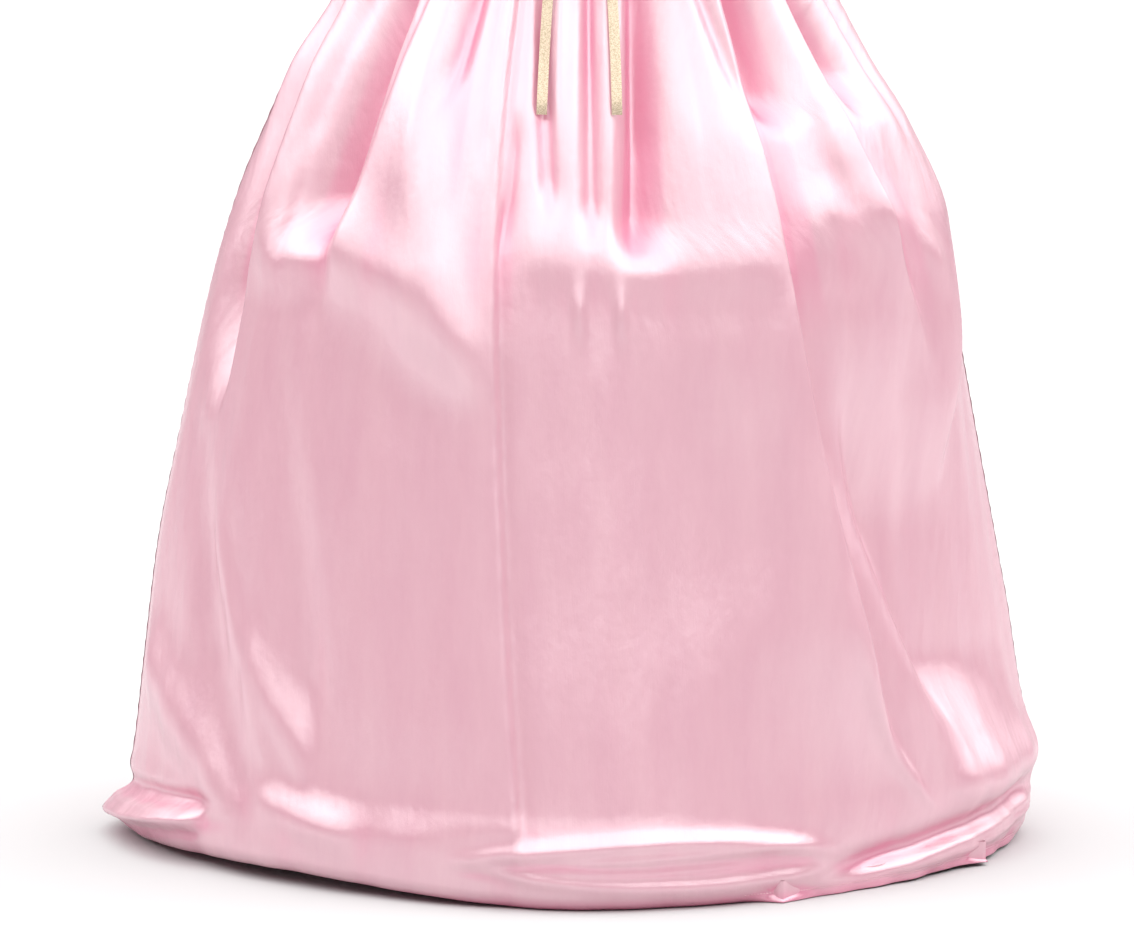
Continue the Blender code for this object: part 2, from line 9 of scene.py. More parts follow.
import bpy
import numpy as np
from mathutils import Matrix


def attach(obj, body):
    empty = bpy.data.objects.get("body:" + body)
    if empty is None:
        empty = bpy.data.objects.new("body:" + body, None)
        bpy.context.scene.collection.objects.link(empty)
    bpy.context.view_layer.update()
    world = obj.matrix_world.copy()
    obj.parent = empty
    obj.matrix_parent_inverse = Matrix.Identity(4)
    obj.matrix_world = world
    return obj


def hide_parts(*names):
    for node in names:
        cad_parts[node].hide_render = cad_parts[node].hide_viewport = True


# Sizes shared with the solids
SHOULDER_HEIGHT = 1.432
WAIST_HEIGHT = 1.040
SEAM_GAP = 0.0004
RIBBON_WIDTH = 0.010

# Bodice form at each level: half width, and depth from the axis to front and back.
# height, half_width, front, back
BODICE_LEVELS = (
    (1.04, 0.135, 0.1, 0.1),
    (1.09, 0.141, 0.102, 0.098),
    (1.14, 0.152, 0.11, 0.098),
    (1.2, 0.165, 0.122, 0.103),
    (1.25, 0.167, 0.122, 0.107),
    (1.31, 0.167, 0.118, 0.108),
    (1.46, 0.176, 0.118, 0.108),
)
DOME_START = 1.200  # above it the depth closes in to the shoulder seam
NECK_POINT_ANGLE = 31
SHOULDER_TIP_ANGLE = 69
NECK_POINT_HEIGHT = 1.450
SHOULDER_TIP_HEIGHT = 1.414
UNDERARM_HEIGHT = 1.235
FRONT_NECK_HEIGHT = 1.335
BACK_NECK_HEIGHT = 1.395
ARMHOLE_CUT = 26  # degrees its edge bows in from the line underarm to shoulder tip
ARMHOLE_LEAN = 0.62  # below 1 puts the deepest part of the bow below the middle
BACK_CLOSING = 0.75  # below 1 keeps the back fuller than the front under the shoulder seam
BUST_ANGLE = 36
BUST_HEIGHT = 1.205
BUST_SPREAD = (19, 0.048)  # degrees, metres
BUST_RISE = 0.011
BACK_LAP = 0.018  # how far the left back runs under the right one
LAP_RAMP = 0.030  # width over which the right back lifts over it
LAP_LIFT = 0.0028
LAP_COLUMNS = 8
NECK_SHARE = 0.5  # share of a half's columns that ends on the neckline
UNDERARM_SHARE = 0.5  # share of the rows below the underarm

# Ribbon tie
RIBBON_THICKNESS = 0.0008
RIBBON_STAND_OFF = 0.0011  # of the band's middle from the bodice
BAND_MIDDLE = WAIST_HEIGHT + 0.0016 + RIBBON_WIDTH / 2  # clears the waist seam by 1.6 mm
BAND_LAP_ANGLES = (150, 170)  # where the band starts to lift and is clear of the bodice's lap
KNOT_SIZE = (0.034, 0.0065, 0.015)
TAIL_END_HEIGHT = 0.727
# side, sideways offset of the tail at the knot, at mid length and at its end
TAILS = (
    ("right", -0.0100, -0.0275, -0.0370),
    ("left", 0.0100, 0.0270, 0.0343),
)

# Camera
IMAGE_WIDTH = 1134
FOCAL_PIXELS = 5528.6
CAMERA_PLACE = (-0.013, -5.5, -0.502)
CAMERA_PITCH = 5.83  # degrees down
SENSOR_WIDTH = 36  # millimetres
FAR = 1000

# Skirt form. reach: distance from the axis towards each side. round: how full the plan's
# front corners are, as the power of a superellipse, 2 being an ellipse.
# height, left, right, front, back, round_left, round_right
SKIRT_LEVELS = (
    (1.04, 0.135, 0.135, 0.1, 0.1, 2, 2),
    (1, 0.158, 0.16, 0.121, 0.125, 2, 2),
    (0.93, 0.197, 0.204, 0.158, 0.166, 2, 2),
    (0.832, 0.242, 0.258, 0.208, 0.222, 2, 2),
    (0.772, 0.282, 0.291, 0.243, 0.258, 1.95, 2),
    (0.712, 0.31, 0.328, 0.277, 0.292, 1.9, 2),
    (0.652, 0.336, 0.348, 0.306, 0.32, 1.85, 2),
    (0.592, 0.356, 0.362, 0.33, 0.342, 1.85, 1.95),
    (0.532, 0.372, 0.372, 0.348, 0.359, 1.8, 1.95),
    (0.412, 0.398, 0.394, 0.376, 0.388, 1.8, 1.9),
    (0.292, 0.422, 0.418, 0.405, 0.416, 1.75, 1.9),
    (0.172, 0.437, 0.441, 0.437, 0.441, 1.7, 1.85),
    (0.09, 0.447, 0.447, 0.458, 0.456, 1.65, 1.85),
    (0.045, 0.456, 0.448, 0.471, 0.463, 1.65, 1.8),
    (0.015, 0.46, 0.446, 0.47, 0.461, 1.65, 1.8),
    (0, 0.452, 0.438, 0.462, 0.452, 1.65, 1.8),
)

# How far the hem clears the floor round the skirt.
# angle, lift
HEM_LIFTS = (
    (-180, 0), (-110, 0), (-88, 0.002), (-65, 0.008), (-42, 0.012), (-20, 0.006),
    (-4, 0), (30, 0), (60, 0.003), (95, 0.001), (130, 0), (180, 0),
)
HEM_LIFT_FADE = 0.12

# Upright folds: a ridge where rise is above 0, a trough where it is below. Each follows its
# three angles from its top to its foot. A narrow side is a crisp edge.
# top, foot, angle_top, angle_middle, angle_foot, side_left, side_right, rise, fade_top, fade_foot
FRONT_FOLDS = (
    (1.02, 0.42, -80, -73, -69, 6, 1.5, -0.04, 0.16, 0.14),
    (0.98, 0.54, -74, -66, -67, 1.6, 6, 0.012, 0.16, 0.12),
    (1, 0.588, -54, -50, -50, 6, 3.6, -0.044, 0.26, 0.06),
    (0.98, 0.47, -37, -39, -46, 2.6, 9, 0.013, 0.14, 0.22),
    (0.9, 0.45, -35, -28, -17, 8, 5, 0.026, 0.25, 0.14),
    (0.97, 0.7, -27, -27, -28, 2.2, 2.6, -0.01, 0.16, 0.08),
    (0.94, 0.03, -18.4, -13, -7, 7, 0.6, 0.011, 0.14, 0.05),
    (0.96, 0.62, -13, -9, -5, 2, 2.5, -0.013, 0.2, 0.05),
    (0.96, 0.6, 3, 2, 2, 2, 1.6, -0.013, 0.2, 0.05),
    (0.99, 0.58, 20, 13, 9, 3, 5, -0.036, 0.3, 0.05),
    (0.96, 0.69, 27, 30, 33, 2.6, 1.6, -0.01, 0.14, 0.08),
    (1.01, 0.09, 35, 33, 43, 13, 1.4, 0.026, 0.14, 0.16),
    (0.99, 0.705, 42, 41, 38, 2.2, 4, -0.034, 0.22, 0.04),
    (0.6, 0.28, 36, 37, 43, 1.2, 6, -0.006, 0.1, 0.16),
    (1, 0.46, 54, 54, 66, 8, 1.5, 0.015, 0.12, 0.18),
    (0.99, 0.715, 59, 60, 62, 2.4, 5, -0.036, 0.22, 0.05),
    (0.72, 0.34, 86, 76, 64, 10, 1.6, 0.013, 0.1, 0.12),
    (0.54, 0.09, 45, 49, 63, 4.5, 26, -0.037, 0.22, 0.12),
    (0.32, 0.06, 37, 39, 50, 1.6, 1.2, 0.005, 0.12, 0.04),
    (0.58, 0.1, -58, -46, -36, 5, 4, -0.009, 0.28, 0.1),
    (0.5, 0.12, -79, -66, -55, 5, 4, -0.009, 0.24, 0.1),
    (0.52, 0.2, 18, 22, 16, 9, 6, -0.005, 0.16, 0.14),
)
BACK_FOLDS = (
    (1, 0.3, 101, 100, 104, 6, 3, -0.014, 0.12, 0.2),
    (1, 0.1, 118, 116, 113, 3, 9, 0.015, 0.14, 0.16),
    (1, 0.56, 131, 129, 127, 5, 6, -0.018, 0.12, 0.12),
    (1, 0.05, 143, 144, 150, 9, 2.8, 0.013, 0.14, 0.1),
    (0.98, 0.48, 157, 157, 161, 3, 7, -0.013, 0.12, 0.16),
    (1, 0.62, 171, 170, 168, 4, 4, -0.008, 0.1, 0.12),
    (1, 0.34, 184, 186, 190, 4, 8, 0.009, 0.12, 0.18),
    (1, 0.55, 198, 197, 194, 5, 5, -0.016, 0.12, 0.12),
    (1, 0.09, 211, 212, 206, 2.8, 10, 0.015, 0.14, 0.14),
    (1, 0.6, 224, 226, 229, 5, 6, -0.017, 0.12, 0.12),
    (1, 0.22, 239, 240, 246, 8, 3, 0.012, 0.12, 0.2),
    (1, 0.5, 254, 256, 258, 5, 5, -0.014, 0.12, 0.16),
    (0.46, 0.08, 136, 132, 126, 8, 6, -0.014, 0.18, 0.07),
    (0.4, 0.07, 222, 226, 233, 6, 8, -0.013, 0.18, 0.07),
)
# Finer creases, of the same columns.
FINE_FOLDS = (
    (0.99, 0.62, -92, -86, -80, 2, 4, 0.005, 0.08, 0.16),
    (0.92, 0.66, -62, -60, -60, 2, 2.6, -0.004, 0.1, 0.06),
    (0.7, 0.57, -60, -58.5, -58, 0.8, 1.4, -0.0035, 0.05, 0.05),
    (0.96, 0.62, -33, -32, -29, 2, 1.3, 0.003, 0.08, 0.1),
    (0.96, 0.66, -21, -20, -18, 1.2, 1.6, -0.003, 0.1, 0.06),
    (0.74, 0.59, -13.4, -13, -13.6, 0.6, 2, -0.006, 0.05, 0.05),
    (0.94, 0.6, -4, -5, -3, 0.9, 1.6, 0.003, 0.06, 0.08),
    (0.96, 0.62, 7, 6, 5, 1.2, 1.2, 0.003, 0.06, 0.08),
    (0.92, 0.6, 11, 10, 8, 0.7, 0.9, 0.0022, 0.1, 0.06),
    (0.98, 0.64, 24, 22, 20, 2, 1.6, 0.003, 0.08, 0.1),
    (0.95, 0.62, 48, 49, 50, 2.2, 1.4, 0.003, 0.08, 0.12),
    (0.7, 0.595, 49, 50, 53, 3, 3.5, -0.005, 0.06, 0.05),
    (0.95, 0.66, 72, 74, 77, 2, 2.4, -0.005, 0.1, 0.1),
    (0.34, 0.1, 50, 50, 51, 2.4, 1, 0.003, 0.1, 0.1),
    (0.6, 0.14, -30, -27, -24, 3, 2, -0.0014, 0.14, 0.12),
    (0.42, 0.08, -70, -56, -43, 3, 2, 0.0045, 0.18, 0.05),
    (0.5, 0.1, 2, 3, 5, 1.6, 3, -0.0008, 0.12, 0.12),
    (0.98, 0.66, 108, 107, 106, 2, 2.6, -0.003, 0.08, 0.14),
    (0.98, 0.62, 124, 124, 121, 1.8, 2.2, 0.003, 0.08, 0.14),
    (0.96, 0.4, 150, 151, 155, 1.6, 2.4, -0.0026, 0.08, 0.18),
    (0.98, 0.6, 176, 177, 178, 1.6, 2, 0.0024, 0.08, 0.14),
    (0.96, 0.58, 191, 192, 194, 2, 1.4, -0.0024, 0.08, 0.14),
    (0.98, 0.48, 205, 204, 200, 1.4, 2.6, 0.0028, 0.08, 0.16),
    (0.97, 0.62, 218, 218, 217, 1.8, 2.2, -0.0028, 0.08, 0.14),
    (0.97, 0.56, 234, 234, 236, 2.4, 1.6, 0.0028, 0.08, 0.16),
    (0.97, 0.6, 248, 249, 251, 1.8, 2.4, -0.003, 0.08, 0.14),
)

# Rolls and breaks of the cloth that run round the skirt, most of them near the floor.
# angle_from, angle_to, height_from, height_middle, height_to, half_height, rise, fade
HEM_ROLLS = (
    (-18, 34, 0.034, 0.062, 0.04, 0.0085, 0.0055, 9),
    (-16, 34, 0.042, 0.02, 0.03, 0.007, 0.0042, 9),
    (28, 88, 0.022, 0.042, 0.066, 0.012, -0.011, 12),
    (34, 92, 0.012, 0.022, 0.04, 0.009, 0.0046, 12),
    (-100, -56, 0.021, 0.028, 0.04, 0.011, 0.019, 5),
    (-104, -52, 0.048, 0.054, 0.06, 0.009, -0.007, 9),
    (120, 175, 0.05, 0.046, 0.04, 0.014, -0.006, 16),
    (190, 240, 0.038, 0.044, 0.048, 0.014, -0.006, 16),
    (-84, -48, 0.215, 0.13, 0.062, 0.038, 0.012, 8),
    (-54, -36, 0.24, 0.165, 0.105, 0.03, 0.0068, 5),
    (-50, -27, 0.094, 0.062, 0.05, 0.024, 0.0062, 6),
    (50, 94, 0.085, 0.078, 0.098, 0.03, 0.012, 10),
    (-66, -40, 0.6, 0.59, 0.615, 0.03, 0.004, 6),
    (-48, -13, 0.625, 0.56, 0.49, 0.045, 0.011, 6),
    (-12, 34, 0.605, 0.59, 0.6, 0.03, 0.005, 7),
    (-2, 1.5, 0.552, 0.548, 0.55, 0.024, 0.006, 2),
    (4.5, 8, 0.549, 0.545, 0.547, 0.024, 0.006, 2),
    (36, 76, 0.61, 0.63, 0.56, 0.032, 0.005, 7),
    (118, 236, 0.61, 0.57, 0.6, 0.04, 0.004, 12),
)
FINE_ROLLS = (
    (-4, 28, 0.044, 0.049, 0.052, 0.0045, 0.0026, 8),
    (-8, 22, 0.04, 0.035, 0.04, 0.0035, 0.0018, 8),
    (-98, -60, 0.034, 0.038, 0.046, 0.0034, 0.004, 6),
    (-94, -62, 0.018, 0.024, 0.036, 0.0032, 0.0034, 7),
    (42, 90, 0.02, 0.032, 0.05, 0.0034, 0.0026, 9),
    (52, 86, 0.012, 0.022, 0.038, 0.0026, 0.0018, 9),
    (126, 168, 0.03, 0.026, 0.024, 0.005, 0.0018, 12),
    (196, 236, 0.024, 0.027, 0.03, 0.005, 0.0018, 12),
)

# Gathers of the waist seam
GATHERS = 40
GATHER_RISE = 0.0034
GATHER_FULL_HEIGHT = 0.985
GATHER_END_HEIGHT = 0.800
GATHER_DRIFTS = ((1.5, 3, 0.0), (0.9, 7, 1.0))
PUCKERS = 118  # small pleats right under the seam
PUCKER_RISE = 0.0011
PUCKER_FADE = 0.055
PUCKER_DRIFT = 3  # times the gathers' own drift

WAVES_FULL = 0.25  # how far below the waist the slow waves are at their full rise
# Slow waves of the cloth: rise, waves round, waves per metre of height, phase
CLOTH_WAVES = (
    (0.0011, 13, 0.7, 0.4),
    (0.0008, 21, -0.9, 2.1),
    (0.0006, 34, 1.1, 4),
    (0.0004, 55, -1.3, 1.2),
)


TINY = 1e-12  # keeps divisions away from zero


def smooth(value):
    """Goes from 0 to 1 with no corner at either end."""
    value = np.clip(value, 0, 1)
    return value * value * (3 - 2 * value)


def unit(vectors):
    return vectors / np.maximum(np.linalg.norm(vectors, axis=-1, keepdims=True), TINY)


def curve_through(x, xs, ys):
    """A smooth curve through the table's points that never overshoots them (monotone cubic)."""
    order = np.argsort(xs)
    xs = np.asarray(xs, float)[order]
    ys = np.asarray(ys, float)[order]
    step = np.diff(xs)
    slope = np.diff(ys) / step
    turn = slope[:-1] * slope[1:]
    tangent = np.zeros(len(xs))
    tangent[1:-1] = np.where(turn > 0, 2 * turn / (slope[:-1] + slope[1:] + TINY), 0)
    tangent[0] = slope[0]
    tangent[-1] = slope[-1]
    x = np.clip(x, xs[0], xs[-1])
    i = np.clip(np.searchsorted(xs, x) - 1, 0, len(step) - 1)
    t = (x - xs[i]) / step[i]
    return (
        (1 + 2 * t) * (1 - t) ** 2 * ys[i]
        + t * (1 - t) ** 2 * step[i] * tangent[i]
        + t * t * (3 - 2 * t) * ys[i + 1]
        + t * t * (t - 1) * step[i] * tangent[i + 1]
    )


def level_value(table, height, column):
    rows = np.array(table)
    return curve_through(height, rows[:, 0], rows[:, column])


def through_three(share, start, middle, end):
    """The parabola through three values at shares 0, 0.5 and 1."""
    return (
        start * (1 - share) * (1 - 2 * share)
        + middle * 4 * share * (1 - share)
        + end * share * (2 * share - 1)
    )


def plan_reach(angle, height):
    """Distance from the axis to the skirt before its folds, on a superellipse."""
    across = np.sin(np.radians(angle))
    ahead = np.cos(np.radians(angle))
    left, right, front, back, round_left, round_right = (
        level_value(SKIRT_LEVELS, height, column) for column in range(1, 7)
    )
    side = np.where(across < 0, left, right)
    depth = np.where(ahead > 0, front, back)
    power = np.where(ahead > 0, np.where(across < 0, round_left, round_right), 2.0)
    return ((np.abs(across) / side) ** power + (np.abs(ahead) / depth) ** power) ** (-1 / power)


def angle_between(angle, centre):
    return (angle - centre + 180) % 360 - 180


def fold_rise(angle, height, fold):
    """One upright fold: a bell across it, with its own spread each side, faded at both ends."""
    top, foot, at_top, at_middle, at_foot, left, right, rise, fade_top, fade_foot = fold
    share = np.clip((top - height) / (top - foot), 0, 1)
    off = angle_between(angle, through_three(share, at_top, at_middle, at_foot))
    spread = np.where(off < 0, left, right)
    fade = smooth((top - height) / fade_top) * smooth((height - foot) / fade_foot)
    return rise * np.exp(-((off / spread) ** 2)) * fade


def roll_rise(angle, height, roll):
    """One roll of the hem: a bell up and down, faded at both ends round the hem."""
    start, end, at_start, at_middle, at_end, half_height, rise, fade = roll
    off = angle_between(angle, (start + end) / 2)
    share = np.clip(off / (end - start) + 0.5, 0, 1)
    centre = through_three(share, at_start, at_middle, at_end)
    ends = smooth(((end - start) / 2 - np.abs(off)) / fade)
    return rise * np.exp(-(((height - centre) / half_height) ** 2)) * ends


def gather_rise(angle, height):
    """Uneven gathers: a wave whose spacing drifts round the waist, dying out down the skirt,
    with small pleats over it right under the seam."""
    turn = np.radians(angle)
    drift = sum(amount * np.sin(times * turn + phase) for amount, times, phase in GATHER_DRIFTS)
    grow = smooth((WAIST_HEIGHT - height) / (WAIST_HEIGHT - GATHER_FULL_HEIGHT))
    fade = smooth((height - GATHER_END_HEIGHT) / (GATHER_FULL_HEIGHT - GATHER_END_HEIGHT))
    gathers = GATHER_RISE * np.cos(GATHERS * turn + drift) * grow * fade
    close = smooth((height - WAIST_HEIGHT + PUCKER_FADE) / PUCKER_FADE)
    puckers = PUCKER_RISE * np.cos(PUCKERS * turn + PUCKER_DRIFT * drift) * close
    return gathers + puckers


def wave_rise(angle, height):
    """The sum of a few slow waves, turned so that none repeats round the skirt."""
    turn = np.radians(angle)
    grow = smooth((WAIST_HEIGHT - height) / WAVES_FULL)
    waves = sum(
        rise * np.sin(round_ * turn + 2 * math.pi * down * height + phase + np.sin(2 * turn))
        for rise, round_, down, phase in CLOTH_WAVES
    )
    return waves * grow


def skirt_reach(angle, height):
    reach = plan_reach(angle, height) + gather_rise(angle, height) + wave_rise(angle, height)
    for fold in FRONT_FOLDS + BACK_FOLDS + FINE_FOLDS:
        reach = reach + fold_rise(angle, height, fold)
    for roll in HEM_ROLLS + FINE_ROLLS:
        reach = reach + roll_rise(angle, height, roll)
    return reach


def hem_lift(angle, height):
    rows = np.array(HEM_LIFTS)
    lift = curve_through(angle_between(angle, 0), rows[:, 0], rows[:, 1])
    return lift * smooth(1 - height / HEM_LIFT_FADE)


def skirt_points(angle, height, turned_in=0.0, turned_up=0.0):
    """Points of the skirt's outer face, in the frame."""
    reach = skirt_reach(angle, height) - turned_in
    turn = np.radians(angle)
    up = height + turned_up + hem_lift(angle, height) - SHOULDER_HEIGHT
    return np.stack([reach * np.sin(turn), -reach * np.cos(turn), up], axis=-1)


def grid_normals(points):
    """Unit normals of a grid of points from its neighbours, along then down the grid."""
    along = np.gradient(points, axis=1)
    down = np.gradient(points, axis=0)
    return unit(np.cross(down, along))


def cloth_lengths(points):
    """How far each point is along and down the cloth, in metres, for the weave's UV map."""
    along = np.linalg.norm(np.diff(points, axis=1), axis=-1)
    down = np.linalg.norm(np.diff(points, axis=0), axis=-1)
    u = np.concatenate([np.zeros((len(points), 1)), np.cumsum(along, axis=1)], axis=1)
    u = u - u[:, u.shape[1] // 2 : u.shape[1] // 2 + 1]
    v = np.concatenate([np.zeros((1, points.shape[1])), -np.cumsum(down, axis=0)], axis=0)
    return np.stack([u, v], axis=-1)


# Painted shade in folds: columns to each side, how far behind them counts as fully hollow, weight
FOLD_SHADE_STEPS = ((16, 0.016, 0.65), (5, 0.004, 0.35))
SHADE_HEIGHTS = (0.50, 0.62, 0.04, 0.10)  # the painted shade counts above the second and below the third
# The same painted shade up and down the cloth, for the hem's rolls: rows, depth, weight, height they
# end at
ROLL_SHADE = (5, 0.003, 0.7, 0.12)
UNDER_SHADE_HEIGHT = 0.014  # below it the cloth faces the floor and gets painted shade, full at the floor


def hollows(points):
    """Painted shade, from 0 to 1: how far each point lies behind the cloth a few columns away, 1 at
    the bottom of a deep fold, where light only comes from cloth to cloth and takes on more of its
    colour.
    The same between the hem's rolls, and rising to full where the cloth faces the floor."""
    reach = np.hypot(points[..., 0], points[..., 1])
    share = 0 * reach
    for steps, depth, weight in FOLD_SHADE_STEPS:
        padded = np.pad(reach, ((0, 0), (steps, steps)), mode="edge")
        behind = (padded[:, 2 * steps :] + padded[:, : -2 * steps]) / 2 - reach
        share = share + weight * smooth(behind / depth)
    rows, depth, weight, end = ROLL_SHADE
    padded = np.pad(reach, ((rows, rows), (0, 0)), mode="edge")
    behind = (padded[2 * rows :] + padded[: -2 * rows]) / 2 - reach
    height = points[..., 2] + SHOULDER_HEIGHT
    share = share + weight * smooth(behind / depth) * smooth(1 - height / end)
    off, on, low, low_off = SHADE_HEIGHTS
    counts = smooth((height - off) / (on - off)) + smooth((low_off - height) / (low_off - low))
    return np.clip(share * counts + smooth(1 - height / UNDER_SHADE_HEIGHT), 0, 1)


def grid_piece(name, points, material, closed_along=False, closed_down=False):
    """A smooth surface over a grid of points, its UV map the cloth's own lengths."""
    uv = cloth_lengths(points)
    if closed_along:
        points = points[:, :-1]
    if closed_down:
        points = points[:-1]
    rows, columns = points.shape[:2]
    index = np.arange(rows * columns).reshape(rows, columns)
    if closed_along:
        index = np.concatenate([index, index[:, :1]], axis=1)
    if closed_down:
        index = np.concatenate([index, index[:1]], axis=0)
    a, b = index[:-1, :-1], index[:-1, 1:]
    c, d = index[1:, 1:], index[1:, :-1]
    faces = np.stack([a, d, c, b], axis=-1).reshape(-1, 4)
    mesh = bpy.data.meshes.new(name)
    mesh.from_pydata(points.reshape(-1, 3).tolist(), [], faces.tolist())
    corner = np.stack([uv[:-1, :-1], uv[1:, :-1], uv[1:, 1:], uv[:-1, 1:]], axis=2)
    layer = mesh.uv_layers.new(name="cloth")
    layer.data.foreach_set("uv", corner.reshape(-1).astype(np.float32))
    # Painted shade as a point attribute: deep in folds, between the hem's rolls and where the cloth
    # faces the floor
    painted_shade = mesh.attributes.new("painted_shade", "FLOAT", "POINT")
    painted_shade.data.foreach_set("value", hollows(points).reshape(-1).astype(np.float32))
    mesh.shade_smooth()
    return add_piece(name, mesh, material)


def new_object(name, data):
    made = bpy.data.objects.new(name, data)
    bpy.context.scene.collection.objects.link(made)
    return made


def add_piece(name, mesh, material):
    mesh.materials.append(material)
    piece = new_object(name, mesh)
    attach(piece, "root")
    return piece


FOLD_RADIUS = 0.0006
FOLD_ROWS = 5
BACK_ROWS = 3  # of the cloth that runs on inside
EDGE = SEAM_GAP / 2 + FOLD_RADIUS  # from a seam to where its cloth starts to fold in


def fold_first(points, normals, depth):
    """Carries a grid on past its first row, round a small fold and back inside by depth."""
    onward = unit(points[:1] - points[1:2])
    turn = np.linspace(0, math.pi, FOLD_ROWS + 1)[1:, None, None]
    bend = FOLD_RADIUS * (onward * np.sin(turn) - normals[:1] * (1 - np.cos(turn)))
    back = np.linspace(0, depth, BACK_ROWS + 1)[1:, None, None]
    inside = -2 * FOLD_RADIUS * normals[:1] - onward * back
    added = points[:1] + np.concatenate([bend, inside])[::-1]
    return (
        np.concatenate([added, points]),
        np.concatenate([np.repeat(normals[:1], len(added), axis=0), normals]),
    )


def fold_edges(points, top, bottom, left, right):
    """Folds a grid's edges to the inside, each by its own depth; 0 leaves it as it is."""
    normals = grid_normals(points)
    if top:
        points, normals = fold_first(points, normals, top)
    if bottom:
        points, normals = fold_first(points[::-1], normals[::-1], bottom)
        points, normals = points[::-1], normals[::-1]
    points, normals = points.swapaxes(0, 1), normals.swapaxes(0, 1)
    if left:
        points, normals = fold_first(points, normals, left)
    if right:
        points, normals = fold_first(points[::-1], normals[::-1], right)
        points, normals = points[::-1], normals[::-1]
    return points.swapaxes(0, 1)


# Materials


class Nodes:
    """Short calls for building the node tree of one material or of the world."""

    def __init__(self, owner):
        owner.use_nodes = True
        self.owner = owner
        self.tree = owner.node_tree
        self.shader = self.tree.nodes.get("Principled BSDF")

    def feed(self, socket, value):
        """Links the socket to another node's output, or sets it to a plain value."""
        if isinstance(value, bpy.types.NodeSocket):
            self.tree.links.new(value, socket)
        else:
            socket.default_value = value

    def add(self, kind, inputs, output=0, **settings):
        """A new node with these settings and inputs; returns one of its outputs."""
        node = self.tree.nodes.new("ShaderNode" + kind)
        for key, value in settings.items():
            setattr(node, key, value)
        for key, value in inputs.items():
            self.feed(node.inputs[key], value)
        return node.outputs[output]

    def set(self, **values):
        for key, value in values.items():
            self.feed(self.shader.inputs[key.replace("_", " ")], value)

    def cloth_uv(self, across, down):
        uv = self.add("UVMap", {}, uv_map="cloth")
        return self.add("Mapping", {"Vector": uv, "Scale": (across, down, 1)})

    def noise(self, vector, detail, roughness=0.5):
        inputs = {"Vector": vector, "Scale": 1.0, "Detail": detail, "Roughness": roughness}
        return self.add("TexNoise", inputs, "Fac")

    def wave(self, vector, direction):
        inputs = {"Vector": vector, "Scale": 1.0, "Distortion": 0.0}
        return self.add("TexWave", inputs, "Fac", bands_direction=direction, wave_profile="SIN")

    def ramp(self, share, stops):
        """A colour by a share from 0 to 1, through positions with their colours or greys."""
        ramp = self.tree.nodes.new("ShaderNodeValToRGB")
        while len(ramp.color_ramp.elements) < len(stops):
            ramp.color_ramp.elements.new(0.5)
        for element, (position, colour) in zip(ramp.color_ramp.elements, stops):
            element.position = position
            element.color = (*colour, 1) if isinstance(colour, tuple) else (*[colour] * 3, 1)
        self.feed(ramp.inputs["Fac"], share)
        return ramp.outputs["Color"]

    def bump(self, height, distance, under=None, strength=1.0):
        inputs = {"Strength": strength, "Distance": distance, "Height": height}
        if under is not None:
            inputs["Normal"] = under
        return self.add("Bump", inputs)

    def mixed(self, kind, a, b, factor=1.0):
        inputs = {"Factor": factor, "A": a, "B": b}
        return self.add("Mix", inputs, "Result", data_type="RGBA", blend_type=kind)


# Colours by position in the noise or the glitter
SATIN_COLOURS = ((0.3, (0.71, 0.365, 0.445)), (0.7, (0.755, 0.415, 0.485)))
# Deeper pink painted in as shade, deep in folds and where the cloth faces the floor
PAINTED_SHADE_COLOUR = (0.76, 0.24, 0.37, 1)
# Pulls and slubs, each on top of the one before: noise across and down, detail, distance
SATIN_BUMPS = ((34, 9, 2, 0.0018), (130, 90, 3, 0.00028), (900, 60, 1, 0.00006))
WEAVE = (420, 0.00003)  # wave's stretch both ways, distance
GLITTER = 1500  # cells' stretch both ways
RIBBON_COLOURS = ((0.3, (0.50, 0.39, 0.26)), (0.7, (0.74, 0.61, 0.46)))
THREAD_TWIST = (900, 900, 900)


def make_satin():
    """Weft-faced satin: its floats run up and down, so its gloss spreads across them. Slow
    noises pull the cloth about by tenths of a millimetre, and a fine weave lies over them."""
    nodes = Nodes(bpy.data.materials.new("satin"))
    tangent = nodes.add("Tangent", {}, direction_type="UV_MAP", uv_map="cloth")
    mottle = nodes.noise(nodes.cloth_uv(24, 5), 5, 0.65)
    # Painted shade: the base colour goes towards the deeper pink by the painted shade attribute
    painted_shade = nodes.add("Attribute", {}, "Fac", attribute_name="painted_shade")
    colour = nodes.mixed("MIX", nodes.ramp(mottle, SATIN_COLOURS), PAINTED_SHADE_COLOUR, painted_shade)
    normal = None
    for across, down, detail, distance in SATIN_BUMPS:
        normal = nodes.bump(nodes.noise(nodes.cloth_uv(across, down), detail), distance, normal)
    stretch, distance = WEAVE
    for direction in "XY":
        threads = nodes.wave(nodes.cloth_uv(stretch, stretch), direction)
        normal = nodes.bump(threads, distance, normal)
    nodes.set(Base_Color=colour, Normal=normal, Tangent=tangent)
    nodes.set(Roughness=0.22, Anisotropic=0.6, IOR=2.65)
    return nodes.owner


def make_gold_ribbon():
    """Pale gold glitter ribbon: cells under a millimetre across, each with its own tone."""
    nodes = Nodes(bpy.data.materials.new("gold_ribbon"))
    inputs = {"Vector": nodes.cloth_uv(GLITTER, GLITTER), "Scale": 1.0}
    cells = nodes.add("TexVoronoi", inputs, "Color")
    red, green = (nodes.add("SeparateColor", {"Color": cells}, part) for part in ("Red", "Green"))
    normal = nodes.bump(green, 0.0002, strength=0.6)
    nodes.set(Base_Color=nodes.ramp(red, RIBBON_COLOURS), Normal=normal)
    nodes.set(Metallic=0.35, Roughness=0.42)
    return nodes.owner


